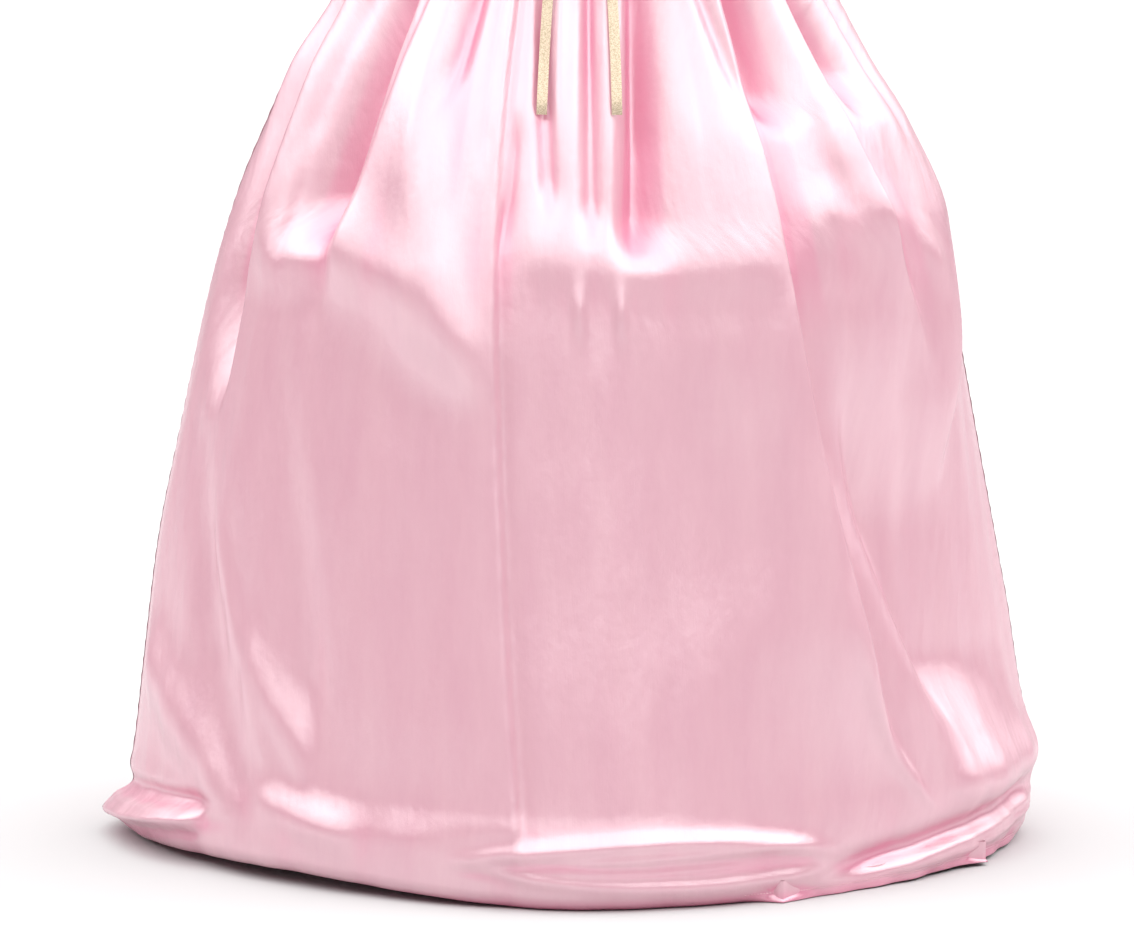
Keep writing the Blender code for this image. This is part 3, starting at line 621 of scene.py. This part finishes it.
def make_thread():
    """Polyester sewing thread, twisted, in the satin's pink."""
    nodes = Nodes(bpy.data.materials.new("thread"))
    place = nodes.add("TexCoord", {}, "Object")
    twist = nodes.wave(nodes.add("Mapping", {"Vector": place, "Scale": THREAD_TWIST}), "DIAGONAL")
    nodes.set(Base_Color=(0.86, 0.50, 0.58, 1), Roughness=0.45, Normal=nodes.bump(twist, 0.0001))
    return nodes.owner


# Skirt

SEAM_ALLOWANCE = 0.010
SEAM_EDGE = 0.07  # degrees from a seam to its panels' edges
HEM_TURN = 0.019  # cloth beyond the curl
HEM_CORNERS = (0.0012, 0.007)  # radius of the curl where the hem stands free, and elsewhere
CURL_ROWS = 9
TURN_ROWS = 5
UPPER_FOOT = 0.13  # rows are closer together below this height
# Where the hem's narrow edge stands free of the floor instead of curling in under the skirt:
# first and last angle, width of the change between the two
FREE_HEM = (22, 78, 5)
HEM_FLARE = 0.005  # how far the free edge stands out
HEM_WIDTH = 0.010
# Where the free edge sticks out in a point: angle, width, times the flare
HEM_POINTS = ((24, 1.6, 2.4), (61, 1.8, 2.6))
HEM_WAVES = ((0.3, 19, 0), (0.2, 53, 2))  # share of the flare, waves round, phase
SEAM_DIP = (0.0009, 0.0022)  # depth, half width
SEAM_PUCKERS = (0.0005, 0.010, 0.017, 41)  # depth, half width, pitch, drift of the pitch
# name, first and last angle, columns, rows above and below UPPER_FOOT
SKIRT_PANELS = (
    ("skirt_front", -90, 90, 400, 168, 44),
    ("skirt_back_left", 90, 180, 170, 120, 30),
    ("skirt_back_right", -180, -90, 170, 120, 30),
)


def curled(angle):
    """1 where the hem curls in along the floor, 0 where its edge stands free."""
    first, last, change = FREE_HEM
    off = np.abs(angle_between(angle, (first + last) / 2)) - (last - first) / 2
    return smooth(off / change + 0.5)


def hem_ripple(angle):
    """The free edge waves in and out where the sewing has pulled it."""
    turn = np.radians(angle)
    ripple = 1 + sum(share * np.sin(turn * times + phase) for share, times, phase in HEM_WAVES)
    for corner, width, out in HEM_POINTS:
        ripple = ripple + out * np.exp(-np.abs(angle_between(angle, corner)) / width)
    return ripple


def skirt_grid(angles, count_upper, count_lower, seams):
    """Rows from the waist seam to the hem, closer together towards it. Then the cloth goes round
    a curl: a quarter turn and on along the floor, or a half turn and on up its own inside."""
    curl = curled(angles)
    corner = HEM_CORNERS[0] + (HEM_CORNERS[1] - HEM_CORNERS[0]) * curl
    upper = np.linspace(WAIST_HEIGHT - EDGE, UPPER_FOOT, count_upper, endpoint=False)
    down = np.linspace(0, 1, count_lower, endpoint=False)[:, None]
    lower = UPPER_FOOT + (corner - UPPER_FOOT) * down
    upper = upper[:, None] + 0 * corner
    last_turn = np.radians(180 - 90 * curl)
    turn = np.linspace(0, 1, CURL_ROWS)[:, None] * last_turn
    onward = np.linspace(0, HEM_TURN, TURN_ROWS)[1:, None]
    turned_in = np.concatenate(
        [
            0 * upper,
            0 * lower,
            corner * (1 - np.cos(turn)),
            corner * (1 - np.cos(last_turn)) + onward * np.sin(last_turn),
        ]
    )
    height = np.concatenate(
        [
            upper,
            lower,
            corner * (1 - np.sin(turn)),
            corner * (1 - np.sin(last_turn)) - onward * np.cos(last_turn),
        ]
    )
    level = np.minimum.accumulate(height, axis=0)
    free = smooth(1 - level / HEM_WIDTH) * (1 - curl)
    groove = sum(seam_groove(angles, seam, level) for seam in seams)
    out = groove + HEM_FLARE * free * hem_ripple(angles)
    return skirt_points(angles, level, turned_in - out, height - level)


def seam_groove(angle, centre, height):
    """The dip along a seam, with the small puckers that sewing pulls into the cloth beside it."""
    off = np.radians(angle_between(angle, centre)) * plan_reach(centre, height)
    depth, half_width = SEAM_DIP
    dip = -depth * np.exp(-((off / half_width) ** 2))
    depth, half_width, pitch, drift = SEAM_PUCKERS
    pucker = depth * np.sin(2 * math.pi * height / pitch + np.sin(height * drift))
    return dip + pucker * np.exp(-((off / half_width) ** 2))


def make_skirt(satin):
    """The front panel runs from side seam to side seam; two back panels meet at the centre back."""
    panels = []
    for name, first, last, columns, upper, lower in SKIRT_PANELS:
        share = np.linspace(0, 1, columns)[None, :]
        angles = first + SEAM_EDGE + share * (last - first - 2 * SEAM_EDGE)
        points = skirt_grid(angles, upper, lower, (first, last))
        points = fold_edges(points, SEAM_ALLOWANCE, 0, SEAM_ALLOWANCE, SEAM_ALLOWANCE)
        panel = grid_piece(name + "_satin", points, satin)
        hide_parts(name)
        panels.append(panel)
    return panels


# Bodice

BODICE_COLUMNS = 66  # of each half
BODICE_ROWS = 96
CREASE_REACH = 0.155  # metres per radian round the bodice
BAND_CLEAR = (1.053, 0.020)  # creases start above the ribbon, over this height
# Darts, creases and drag lines: a ridge where rise is above 0, a trough where it is below.
# angle_from, height_from, angle_to, height_to, half_width, rise
BODICE_CREASES = (
    (30, 1.04, 35, 1.158, 0.0017, -0.0011),
    (-30, 1.04, -35, 1.158, 0.0017, -0.0011),
    (93, 1.168, 52, 1.196, 0.0017, -0.0011),
    (-93, 1.168, -52, 1.196, 0.0017, -0.0011),
    (20, 1.18, 62, 1.12, 0.006, -0.0016),
    (-16, 1.176, -58, 1.104, 0.0055, -0.0018),
    (48, 1.16, 84, 1.085, 0.005, 0.0014),
    (-50, 1.15, -86, 1.076, 0.006, 0.0012),
    (6, 1.062, 24, 1.14, 0.007, 0.0014),
    (-4, 1.058, -18, 1.128, 0.006, 0.0013),
    (-12, 1.214, 14, 1.221, 0.006, -0.0022),
    (-16, 1.238, 11, 1.246, 0.005, -0.0012),
    (40, 1.24, 66, 1.258, 0.006, -0.002),
    (-42, 1.244, -68, 1.266, 0.0055, -0.0022),
    (30, 1.275, 55, 1.33, 0.006, 0.0015),
    (-34, 1.268, -52, 1.322, 0.0065, 0.0013),
    (34, 1.345, 50, 1.418, 0.005, -0.0012),
    (-36, 1.34, -48, 1.424, 0.005, -0.0011),
    (70, 1.062, 92, 1.13, 0.0055, -0.0014),
    (-72, 1.056, -90, 1.142, 0.0055, -0.0013),
    (104, 1.066, 122, 1.15, 0.006, -0.0016),
    (-108, 1.058, -126, 1.135, 0.0065, -0.0015),
    (100, 1.19, 132, 1.222, 0.006, 0.0016),
    (-98, 1.182, -136, 1.214, 0.006, 0.0014),
    (132, 1.07, 164, 1.108, 0.005, 0.0013),
    (-136, 1.076, -160, 1.12, 0.0055, 0.0013),
    (118, 1.272, 146, 1.332, 0.006, -0.0016),
    (-122, 1.262, -144, 1.34, 0.006, -0.0017),
    (140, 1.18, 168, 1.196, 0.0055, -0.0015),
    (-138, 1.17, -165, 1.19, 0.006, -0.0014),
    (128, 1.35, 140, 1.418, 0.005, 0.001),
    (-130, 1.346, -142, 1.412, 0.005, 0.001),
)
CREASE_FADE = 0.3  # share of a crease's length at each end
# rise, waves round, waves per metre of height, phase
BODICE_WAVES = ((0.0007, 9, 7.0, 0.3), (0.0005, 17, -11.0, 1.9), (0.0003, 31, 15.0, 3.1))


def crease_rise(angle, height, crease):
    """A bell across the straight line between two points of the cloth, faded at both ends."""
    angle_from, height_from, angle_to, height_to, half_width, rise = crease
    run = np.array([np.radians(angle_to - angle_from) * CREASE_REACH, height_to - height_from])
    length = np.hypot(*run)
    ahead = np.radians(angle_between(angle, angle_from)) * CREASE_REACH
    up = height - height_from
    along = (ahead * run[0] + up * run[1]) / length**2
    across = (up * run[0] - ahead * run[1]) / length
    ends = smooth(along / CREASE_FADE) * smooth((1 - along) / CREASE_FADE)
    return rise * np.exp(-((across / half_width) ** 2)) * ends


def bodice_rise(angle, height):
    turn = np.radians(angle)
    rise = sum(crease_rise(angle, height, crease) for crease in BODICE_CREASES)
    rise = rise + sum(
        amount * np.sin(round_ * turn + 2 * math.pi * down * height + phase)
        for amount, round_, down, phase in BODICE_WAVES
    )
    start, over = BAND_CLEAR
    return rise * smooth((height - start) / over)


def rise_of_height(height, angle):
    """The bodice's upright parameter: 0 to 1 from waist to dome, 1 to 2 on to the shoulder."""
    body = (height - WAIST_HEIGHT) / (DOME_START - WAIST_HEIGHT)
    share = (height - DOME_START) / (shoulder_height(angle) - DOME_START)
    dome = 1 + np.arcsin(np.clip(share, 0, 1)) / (math.pi / 2)
    return np.where(height < DOME_START, body, dome)


def shoulder_height(angle):
    """The shoulder line falls evenly from the neck point to the tip, level towards the middle."""
    share = (np.abs(angle) - NECK_POINT_ANGLE) / (SHOULDER_TIP_ANGLE - NECK_POINT_ANGLE)
    return NECK_POINT_HEIGHT + (SHOULDER_TIP_HEIGHT - NECK_POINT_HEIGHT) * np.clip(share, 0, 1)


def bodice_points(angle, rise, side, back):
    """Points of the bodice's outer face: an oval at each level that closes in over the shoulder.
    angle is from the centre front or back towards side, which is 1 or -1."""
    body = WAIST_HEIGHT + EDGE + (DOME_START - WAIST_HEIGHT) * rise
    lean = np.clip(rise - 1, 0, 1) * math.pi / 2
    dome = DOME_START + (shoulder_height(angle) - DOME_START) * np.sin(lean)
    height = np.where(rise < 1, body, dome)
    turn = np.radians(angle)
    out = bodice_rise(side * (180 - angle if back else angle), height)
    width = level_value(BODICE_LEVELS, height, 1) + out
    depth = level_value(BODICE_LEVELS, height, 3 if back else 2) + out
    closing = np.cos(lean) ** (BACK_CLOSING if back else 1.0)
    bust = 0 if back else BUST_RISE * np.exp(
        -(((angle - BUST_ANGLE) / BUST_SPREAD[0]) ** 2)
        - ((height - BUST_HEIGHT) / BUST_SPREAD[1]) ** 2
    )
    ahead = np.maximum((depth + bust) * np.cos(turn) * closing, EDGE)
    x = side * width * np.sin(turn)
    return np.stack([x, ahead if back else -ahead, height - SHOULDER_HEIGHT + 0 * angle], axis=-1)


def half_patch(neck_height, side, back):
    """One half of a bodice piece, centre to side, blended from its four edges (a Coons patch)."""
    s = np.linspace(0, 1, BODICE_COLUMNS)[None, :]
    t = np.linspace(0, 1, BODICE_ROWS)[:, None]
    neck_rise = float(rise_of_height(np.array(neck_height), np.array(0.0)))
    underarm_rise = float(rise_of_height(np.array(UNDERARM_HEIGHT), np.array(90.0)))
    scoop = np.clip(s / NECK_SHARE, 0, 1) * math.pi / 2
    along = np.clip((s - NECK_SHARE) / (1 - NECK_SHARE), 0, 1)
    top = np.stack(
        [
            NECK_POINT_ANGLE * np.sin(scoop) + (SHOULDER_TIP_ANGLE - NECK_POINT_ANGLE) * along,
            neck_rise + (2 - neck_rise) * (1 - np.cos(scoop)),
        ],
        axis=-1,
    )
    seam = np.clip(t / UNDERARM_SHARE, 0, 1)
    up = np.clip((t - UNDERARM_SHARE) / (1 - UNDERARM_SHARE), 0, 1)
    bow = np.sin(math.pi * up**ARMHOLE_LEAN)
    edge = np.stack(
        [
            90 + (SHOULDER_TIP_ANGLE - 90) * up - ARMHOLE_CUT * bow,
            underarm_rise * seam + (2 - underarm_rise) * up,
        ],
        axis=-1,
    )
    bottom = np.stack([90 * s, 0 * s], axis=-1)
    centre = np.stack([0 * t, neck_rise * t], axis=-1)
    s = s[..., None]
    t = t[..., None]
    corners = (
        (1 - s) * (1 - t) * bottom[:, :1]
        + s * (1 - t) * bottom[:, -1:]
        + (1 - s) * t * top[:, :1]
        + s * t * top[:, -1:]
    )
    patch = (1 - t) * bottom + t * top + (1 - s) * centre + s * edge - corners
    return bodice_points(patch[..., 0], patch[..., 1], side, back)[::-1]


def make_bodice(satin):
    """A front cut in one, and two backs that lap at the centre back for a touch fastening.
    Returns the pieces with the grids of their outer faces, for the sewing."""
    right = half_patch(FRONT_NECK_HEIGHT, -1, False)[:, ::-1]
    left = half_patch(FRONT_NECK_HEIGHT, 1, False)
    front = np.concatenate([right[:, :-1], left], axis=1)

    back_left = half_patch(BACK_NECK_HEIGHT, 1, True)[:, ::-1]
    run = np.linspace(0, BACK_LAP, LAP_COLUMNS + 1)[None, 1:]
    width = level_value(BODICE_LEVELS, back_left[:, -1:, 2] + SHOULDER_HEIGHT, 1)
    lap_depth = back_left[:, -1:, 1] * np.sqrt(1 - (run / width) ** 2)
    lap = np.stack(np.broadcast_arrays(-run, lap_depth, back_left[:, -1:, 2]), axis=-1)
    back_left = np.concatenate([back_left, lap], axis=1)

    back_right = half_patch(BACK_NECK_HEIGHT, -1, True)
    over = smooth((LAP_RAMP + BACK_LAP + back_right[..., 0]) / LAP_RAMP)
    back_right[..., 1] += LAP_LIFT * over

    pieces = []
    for name, points in (
        ("bodice_front", front), ("bodice_back_left", back_left), ("bodice_back_right", back_right)
    ):
        folded = fold_edges(points, *[SEAM_ALLOWANCE] * 4)
        piece = grid_piece(name + "_satin", folded, satin)
        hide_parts(name)
        pieces.append((piece, points))
    return pieces


# Ribbon

# Across a ribbon's section from -1 to 1, and through it
RIBBON_SECTION = (
    (-0.94, 1), (-0.6, 1), (-0.2, 1), (0.2, 1), (0.6, 1), (0.94, 1), (1, 0.4),
    (1, -0.4), (0.94, -1), (0.3, -1), (-0.3, -1), (-0.94, -1), (-1, -0.4), (-1, 0.4),
    (-0.94, 1),
)
SHARP_ANGLE = math.radians(50)  # of the section's edges
BAND_COLUMNS = 241
# How the band wavers, out and up: rise, waves round, phase
BAND_WAVES = ((0.0002, 9, 0), (0.0003, 5, 1))
KNOT_GRID = (40, 73)
KNOT_POWERS = (0.5, 0.6)  # of its sines and cosines, the second one for its flat front
KNOT_CREASE = 0.36  # where a crease is, as a share of its half width
KNOT_CREASES = ((0.22, 0.06), (0.10, 0.08))  # in its depth and its height: share, half width
KNOT_TAPER = 0.10  # how much thinner its ends are
TAIL_ROWS = 150
TAIL_COLUMNS = 9
TAIL_ROUNDS = 4  # of finding the cloth behind each point
TAIL_CLEARANCE = 0.0009
TAIL_RUN = 9  # rows over which a tail bridges the cloth's hollows


def ribbon_grid(centre, across, out):
    """A ribbon's thin section with rounded corners, carried along a path of centre points."""
    section = np.array(RIBBON_SECTION)
    wide = section[None, :, :1] * RIBBON_WIDTH / 2
    thick = section[None, :, 1:] * RIBBON_THICKNESS / 2
    return centre[:, None] + across[:, None] * wide + out[:, None] * thick


def make_band(ribbon):
    """The ribbon round the waist, a closed ring just above the waist seam."""
    angle = np.linspace(0, 360, BAND_COLUMNS)
    turn = np.radians(angle)
    lift_from, lift_to = BAND_LAP_ANGLES
    behind = smooth((np.abs(angle_between(angle, 0)) - lift_from) / (lift_to - lift_from))
    out, up = (rise * np.sin(times * turn + phase) for rise, times, phase in BAND_WAVES)
    clear = RIBBON_STAND_OFF + LAP_LIFT * behind + out
    top = BAND_MIDDLE + RIBBON_WIDTH / 2
    width = level_value(BODICE_LEVELS, top, 1) + clear
    depth = level_value(BODICE_LEVELS, top, 2) + clear
    height = BAND_MIDDLE + up - SHOULDER_HEIGHT
    centre = np.stack([width * np.sin(turn), -depth * np.cos(turn), height], axis=-1)
    out = np.stack([np.sin(turn), -np.cos(turn), 0 * turn], axis=-1)
    across = np.array([[0.0, 0.0, 1.0]]) + 0 * out
    points = ribbon_grid(centre, across, out)
    piece = grid_piece("waist_ribbon_gold", points, ribbon, True, True)
    piece.data.set_sharp_from_angle(angle=SHARP_ANGLE)
    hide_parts("waist_ribbon")
    return piece, float(-centre[0, 1])


def make_knot(ribbon, band_front):
    """The flat knot: a squarish ellipsoid, the powers of sine and cosine below 1, with two
    creases where the ribbon passes round itself."""
    width, depth, tall = KNOT_SIZE
    rows, columns = KNOT_GRID
    up = np.linspace(-math.pi / 2, math.pi / 2, rows)[:, None]
    turn = np.linspace(0, 2 * math.pi, columns)[None, :]

    def squared(value, power):
        return np.sign(value) * np.abs(value) ** power

    square, flat = KNOT_POWERS
    x = squared(np.sin(up), square) + 0 * turn
    side = squared(np.cos(up), square)
    in_depth, in_height = (
        1 - share * np.exp(-(((np.abs(x) - KNOT_CREASE) / half_width) ** 2))
        for share, half_width in KNOT_CREASES
    )
    y = -side * squared(np.cos(turn), flat) * (in_depth - KNOT_TAPER * np.abs(x))
    z = side * squared(np.sin(turn), square) * in_height
    ahead = band_front + RIBBON_THICKNESS / 2 + SEAM_GAP + depth / 2
    place = np.array([0, -ahead, BAND_MIDDLE - SHOULDER_HEIGHT])
    points = np.stack([x * width / 2, y * depth / 2, z * tall / 2], axis=-1) + place
    piece = grid_piece("ribbon_knot_gold", points[::-1], ribbon, True)
    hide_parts("ribbon_knot")
    return piece


def sliding(values, count):
    """Each value with its neighbours, count in all."""
    padded = np.pad(values, count // 2, mode="edge")
    return np.lib.stride_tricks.sliding_window_view(padded, count)


def make_tail(ribbon, tail):
    """A free end of the tie: a strip that lies on the skirt's ridges and bridges its hollows."""
    side, at_knot, at_middle, at_end = tail
    top = BAND_MIDDLE - KNOT_SIZE[2] / 2 - SEAM_GAP
    share = np.linspace(0, 1, TAIL_ROWS)[:, None]
    height = top + (TAIL_END_HEIGHT - top) * share
    centre = through_three(share, at_knot, at_middle, at_end)
    x = centre + np.linspace(-1, 1, TAIL_COLUMNS)[None, :] * RIBBON_WIDTH / 2
    ahead = plan_reach(0, height) + 0 * x
    for _ in range(TAIL_ROUNDS):
        angle = np.degrees(np.arctan2(x, ahead))
        ahead = skirt_reach(angle, height) * np.cos(np.radians(angle))
    front = sliding(ahead.max(axis=1), TAIL_RUN).max(axis=1)
    front = sliding(front, TAIL_RUN).mean(axis=1) + TAIL_CLEARANCE + RIBBON_THICKNESS / 2
    path = np.stack([centre[:, 0], -front, height[:, 0] - SHOULDER_HEIGHT], axis=-1)
    along = unit(np.gradient(path, axis=0))
    across = unit(np.stack([-along[:, 2], 0 * front, along[:, 0]], axis=-1))
    out = np.cross(along, across)
    body = ribbon_grid(path, across, out)
    ends = [ribbon_grid(path[[i]], across[[i]], 0 * out[[i]]) for i in (0, -1)]
    points = np.concatenate([ends[0], body, ends[1]])
    piece = grid_piece("ribbon_tail_" + side + "_gold", points, ribbon, True)
    piece.data.set_sharp_from_angle(angle=SHARP_ANGLE)
    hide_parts("ribbon_tail_" + side)
    return piece


# Sewing

STITCH_LENGTH = 0.0026
STITCH_PITCH = 0.0033
STITCH_HALF = 0.00022
NECK_STITCH = 0.005  # from the edge, on the bodice
HEM_STITCH = 0.0085  # from the edge, where the hem stands free
HEM_STITCH_COLUMNS = 700
HEM_STITCH_STEP = 0.001  # between the rows its direction comes from
INWARD_ROWS = 6  # the same on the bodice
# Along, across and out of the cloth: two tips and two square rings
STITCH_POINTS = (
    (-1, 0, 0), (-0.7, -1, 0), (-0.7, 0, 1), (-0.7, 1, 0), (-0.7, 0, -1),
    (0.7, -1, 0), (0.7, 0, 1), (0.7, 1, 0), (0.7, 0, -1), (1, 0, 0),
)
STITCH_FACES = (
    (0, 2, 1), (0, 3, 2), (0, 4, 3), (0, 1, 4), (1, 2, 6), (1, 6, 5), (2, 3, 7), (2, 7, 6),
    (3, 4, 8), (3, 8, 7), (4, 1, 5), (4, 5, 8), (9, 5, 6), (9, 6, 7), (9, 7, 8), (9, 8, 5),
)


def stitch_points(line, normals):
    """Stitches at equal steps along a line of points, each a small capsule lying on the cloth."""
    lengths = np.linalg.norm(np.diff(line, axis=0), axis=-1)
    reached = np.concatenate([[0], np.cumsum(lengths)])
    at = np.arange(STITCH_PITCH / 2, reached[-1], STITCH_PITCH)

    def along_line(values, where):
        return np.stack([np.interp(where, reached, values[:, i]) for i in range(3)], axis=-1)

    start = along_line(line, at - STITCH_LENGTH / 2)
    end = along_line(line, at + STITCH_LENGTH / 2)
    out = unit(along_line(normals, at))
    half = (end - start) / 2
    across = unit(np.cross(half, out))
    shape = np.array(STITCH_POINTS)[None]
    middle = (start + end) / 2 + out * STITCH_HALF
    return (
        middle[:, None]
        + half[:, None] * shape[..., :1]
        + across[:, None] * shape[..., 1:2] * STITCH_HALF
        + out[:, None] * shape[..., 2:] * STITCH_HALF
    ).reshape(-1, 3)


def make_stitches(name, lines, thread):
    points = np.concatenate([stitch_points(line, normals) for line, normals in lines])
    count = len(points) // len(STITCH_POINTS)
    first = np.arange(count)[:, None, None] * len(STITCH_POINTS)
    faces = (np.array(STITCH_FACES)[None] + first).reshape(-1, 3)
    mesh = bpy.data.meshes.new(name)
    mesh.from_pydata(points.tolist(), [], faces.tolist())
    mesh.shade_smooth()
    return add_piece(name, mesh, thread)


def beside_first(points, normals, distance):
    """A line on the cloth at a distance inside a grid's first row."""
    return points[0] + unit(points[INWARD_ROWS] - points[0]) * distance, normals[0]


def bodice_stitches(pieces, thread):
    """Top stitching round the neck and armholes, and down the closing's upper edge."""
    made = []
    arm_rows = slice(0, BODICE_ROWS - int(UNDERARM_SHARE * BODICE_ROWS))
    neck = int(NECK_SHARE * BODICE_COLUMNS)
    for piece, points in pieces:
        normals = grid_normals(points)
        turned, across = points.swapaxes(0, 1), normals.swapaxes(0, 1)
        lines = []
        if piece.name.startswith("bodice_front"):
            upper = slice(BODICE_COLUMNS - 1 - neck, BODICE_COLUMNS + neck)
        elif piece.name.startswith("bodice_back_left"):
            upper = slice(BODICE_COLUMNS - neck, None)
        else:
            upper = slice(0, neck)
        lines.append(beside_first(points[:, upper], normals[:, upper], NECK_STITCH))
        if piece.name.startswith("bodice_back_right"):
            lines.append(beside_first(turned, across, NECK_STITCH))
        if not piece.name.startswith("bodice_back_right"):
            lines.append(beside_first(turned[:, arm_rows], across[:, arm_rows], NECK_STITCH))
        if not piece.name.startswith("bodice_back_left"):
            lines.append(
                beside_first(turned[::-1][:, arm_rows], across[::-1][:, arm_rows], NECK_STITCH)
            )
        made.append(make_stitches(piece.name.replace("satin", "stitches"), lines, thread))
    return made


def hem_stitches(thread):
    """The hem's stitching shows where its edge stands free; elsewhere it lies underneath."""
    first, last, change = FREE_HEM
    angle = np.linspace(first - change / 2, last + change / 2, HEM_STITCH_COLUMNS)[None, :]
    height = HEM_STITCH + HEM_STITCH_STEP * np.array([[1], [0], [-1]])
    out = HEM_FLARE * smooth(1 - height / HEM_WIDTH) * (1 - curled(angle)) * hem_ripple(angle)
    points = skirt_points(angle, height, -out)
    return make_stitches("hem_stitches", [(points[1], grid_normals(points)[1])], thread)


# Stage


def make_camera():
    camera = bpy.data.cameras.new("camera")
    camera.sensor_width = SENSOR_WIDTH
    camera.lens = SENSOR_WIDTH * FOCAL_PIXELS / IMAGE_WIDTH
    camera.clip_end = FAR
    eye = new_object("camera", camera)
    eye.location = CAMERA_PLACE
    eye.rotation_euler = (math.radians(90 - CAMERA_PITCH), 0, 0)
    bpy.context.scene.camera = eye


FLOOR_REACH = 400.0
FLOOR_DROP = 0.0005  # below the hem, so that no faces share its plane
FLOOR_COLOUR = (0.58, 0.58, 0.58, 1)


def make_floor():
    mesh = bpy.data.meshes.new("floor")
    z = -SHOULDER_HEIGHT - FLOOR_DROP
    corners = [(x * FLOOR_REACH, y * FLOOR_REACH, z) for x, y in ((-1, -1), (1, -1), (1, 1), (-1, 1))]
    mesh.from_pydata(corners, [], [(0, 1, 2, 3)])
    nodes = Nodes(bpy.data.materials.new("floor"))
    nodes.set(Base_Color=FLOOR_COLOUR, Roughness=0.9)
    mesh.materials.append(nodes.owner)
    new_object("floor", mesh)


# Where the canopy is, by how far up a face must lean to mirror a direction towards the front:
# sine of the lean, share
FRONT = (0.0, -1.0, 0.05)
CANOPY_EDGE = ((0, 0), (0.318, 0), (0.345, 1), (0.80, 1), (0.90, 0.40), (1, 0.40))
CANOPY_LIGHT = 3.45
# Its brightness, each row times the one before: a direction, then the share by how near to it the
# light comes from, 0 being opposite and 1 along it
CANOPY_SHARES = (
    ((0.94, -0.34, 0), ((0, 0.85), (0.33, 0.75), (0.67, 0.66), (0.85, 0.95), (1, 1))),
    ((-0.50, 0.87, 0), ((0, 1), (0.86, 1), (0.985, 0.10), (1, 0.10))),
    ((0.34, 0.94, 0), ((0, 1), (0.92, 1), (0.985, 0.30), (1, 0.30))),
)
# Light of the walls below it, from the front, 0, to the back, 1: position, brightness
WALL_LIGHT = ((0, 0.44), (0.20, 0.36), (0.45, 0.16), (0.8, 0.16), (1, 0.28))
BACKGROUND = (0.97, 0.97, 0.97, 1)


def facing(nodes, direction, towards, stops):
    """A ramp by how near a direction of the light is to another: 0 opposite it, 1 along it."""
    dot = nodes.add("VectorMath", {0: direction, 1: towards}, "Value", operation="DOT_PRODUCT")
    return nodes.ramp(nodes.add("MapRange", {"Value": dot, "From Min": -1}, "Result"), stops)


def make_studio():
    """A white canopy overhead, its edge 37 degrees up in front and lower all the way round to the
    back, dimmer past the zenith, above dim walls. Behind the floor the camera sees plain white."""
    nodes = Nodes(bpy.data.worlds.new("studio"))
    nodes.tree.nodes.clear()
    bpy.context.scene.world = nodes.owner
    place = nodes.add("TexCoord", {}, "Generated")
    between = nodes.add("VectorMath", {0: place, 1: FRONT}, operation="ADD")
    lean = nodes.add("VectorMath", {0: between}, operation="NORMALIZE")
    edge = nodes.ramp(nodes.add("SeparateXYZ", {"Vector": lean}, "Z"), CANOPY_EDGE)
    canopy, *dimmed = [facing(nodes, place, side, shares) for side, shares in CANOPY_SHARES]
    for share in dimmed:
        canopy = nodes.mixed("MULTIPLY", canopy, share)
    walls = [(at, light / CANOPY_LIGHT) for at, light in WALL_LIGHT]
    walls = facing(nodes, place, (0.0, 1.0, 0.0), walls)
    light = nodes.mixed("MIX", walls, canopy, edge)
    studio = nodes.add("Background", {"Color": light, "Strength": CANOPY_LIGHT})
    plain = nodes.add("Background", {"Color": BACKGROUND})
    seen = nodes.add("LightPath", {}, "Is Camera Ray")
    out = nodes.tree.nodes.new("ShaderNodeOutputWorld")
    nodes.feed(out.inputs["Surface"], nodes.add("MixShader", {"Fac": seen, 1: studio, 2: plain}))
    bpy.context.scene.view_settings.view_transform = "Standard"


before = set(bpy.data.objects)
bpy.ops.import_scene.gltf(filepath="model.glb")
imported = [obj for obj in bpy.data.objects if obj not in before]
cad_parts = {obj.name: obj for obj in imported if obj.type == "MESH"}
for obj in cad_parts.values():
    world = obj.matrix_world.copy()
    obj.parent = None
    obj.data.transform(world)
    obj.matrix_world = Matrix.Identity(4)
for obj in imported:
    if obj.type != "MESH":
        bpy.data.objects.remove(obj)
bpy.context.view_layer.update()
make_camera()
make_floor()
make_studio()
satin = make_satin()
gold_ribbon = make_gold_ribbon()
thread = make_thread()
skirt = make_skirt(satin)
bodice = make_bodice(satin)
band, band_front = make_band(gold_ribbon)
knot = make_knot(gold_ribbon, band_front)
tails = [make_tail(gold_ribbon, tail) for tail in TAILS]
bodice_sewing = bodice_stitches(bodice, thread)
hem_sewing = hem_stitches(thread)
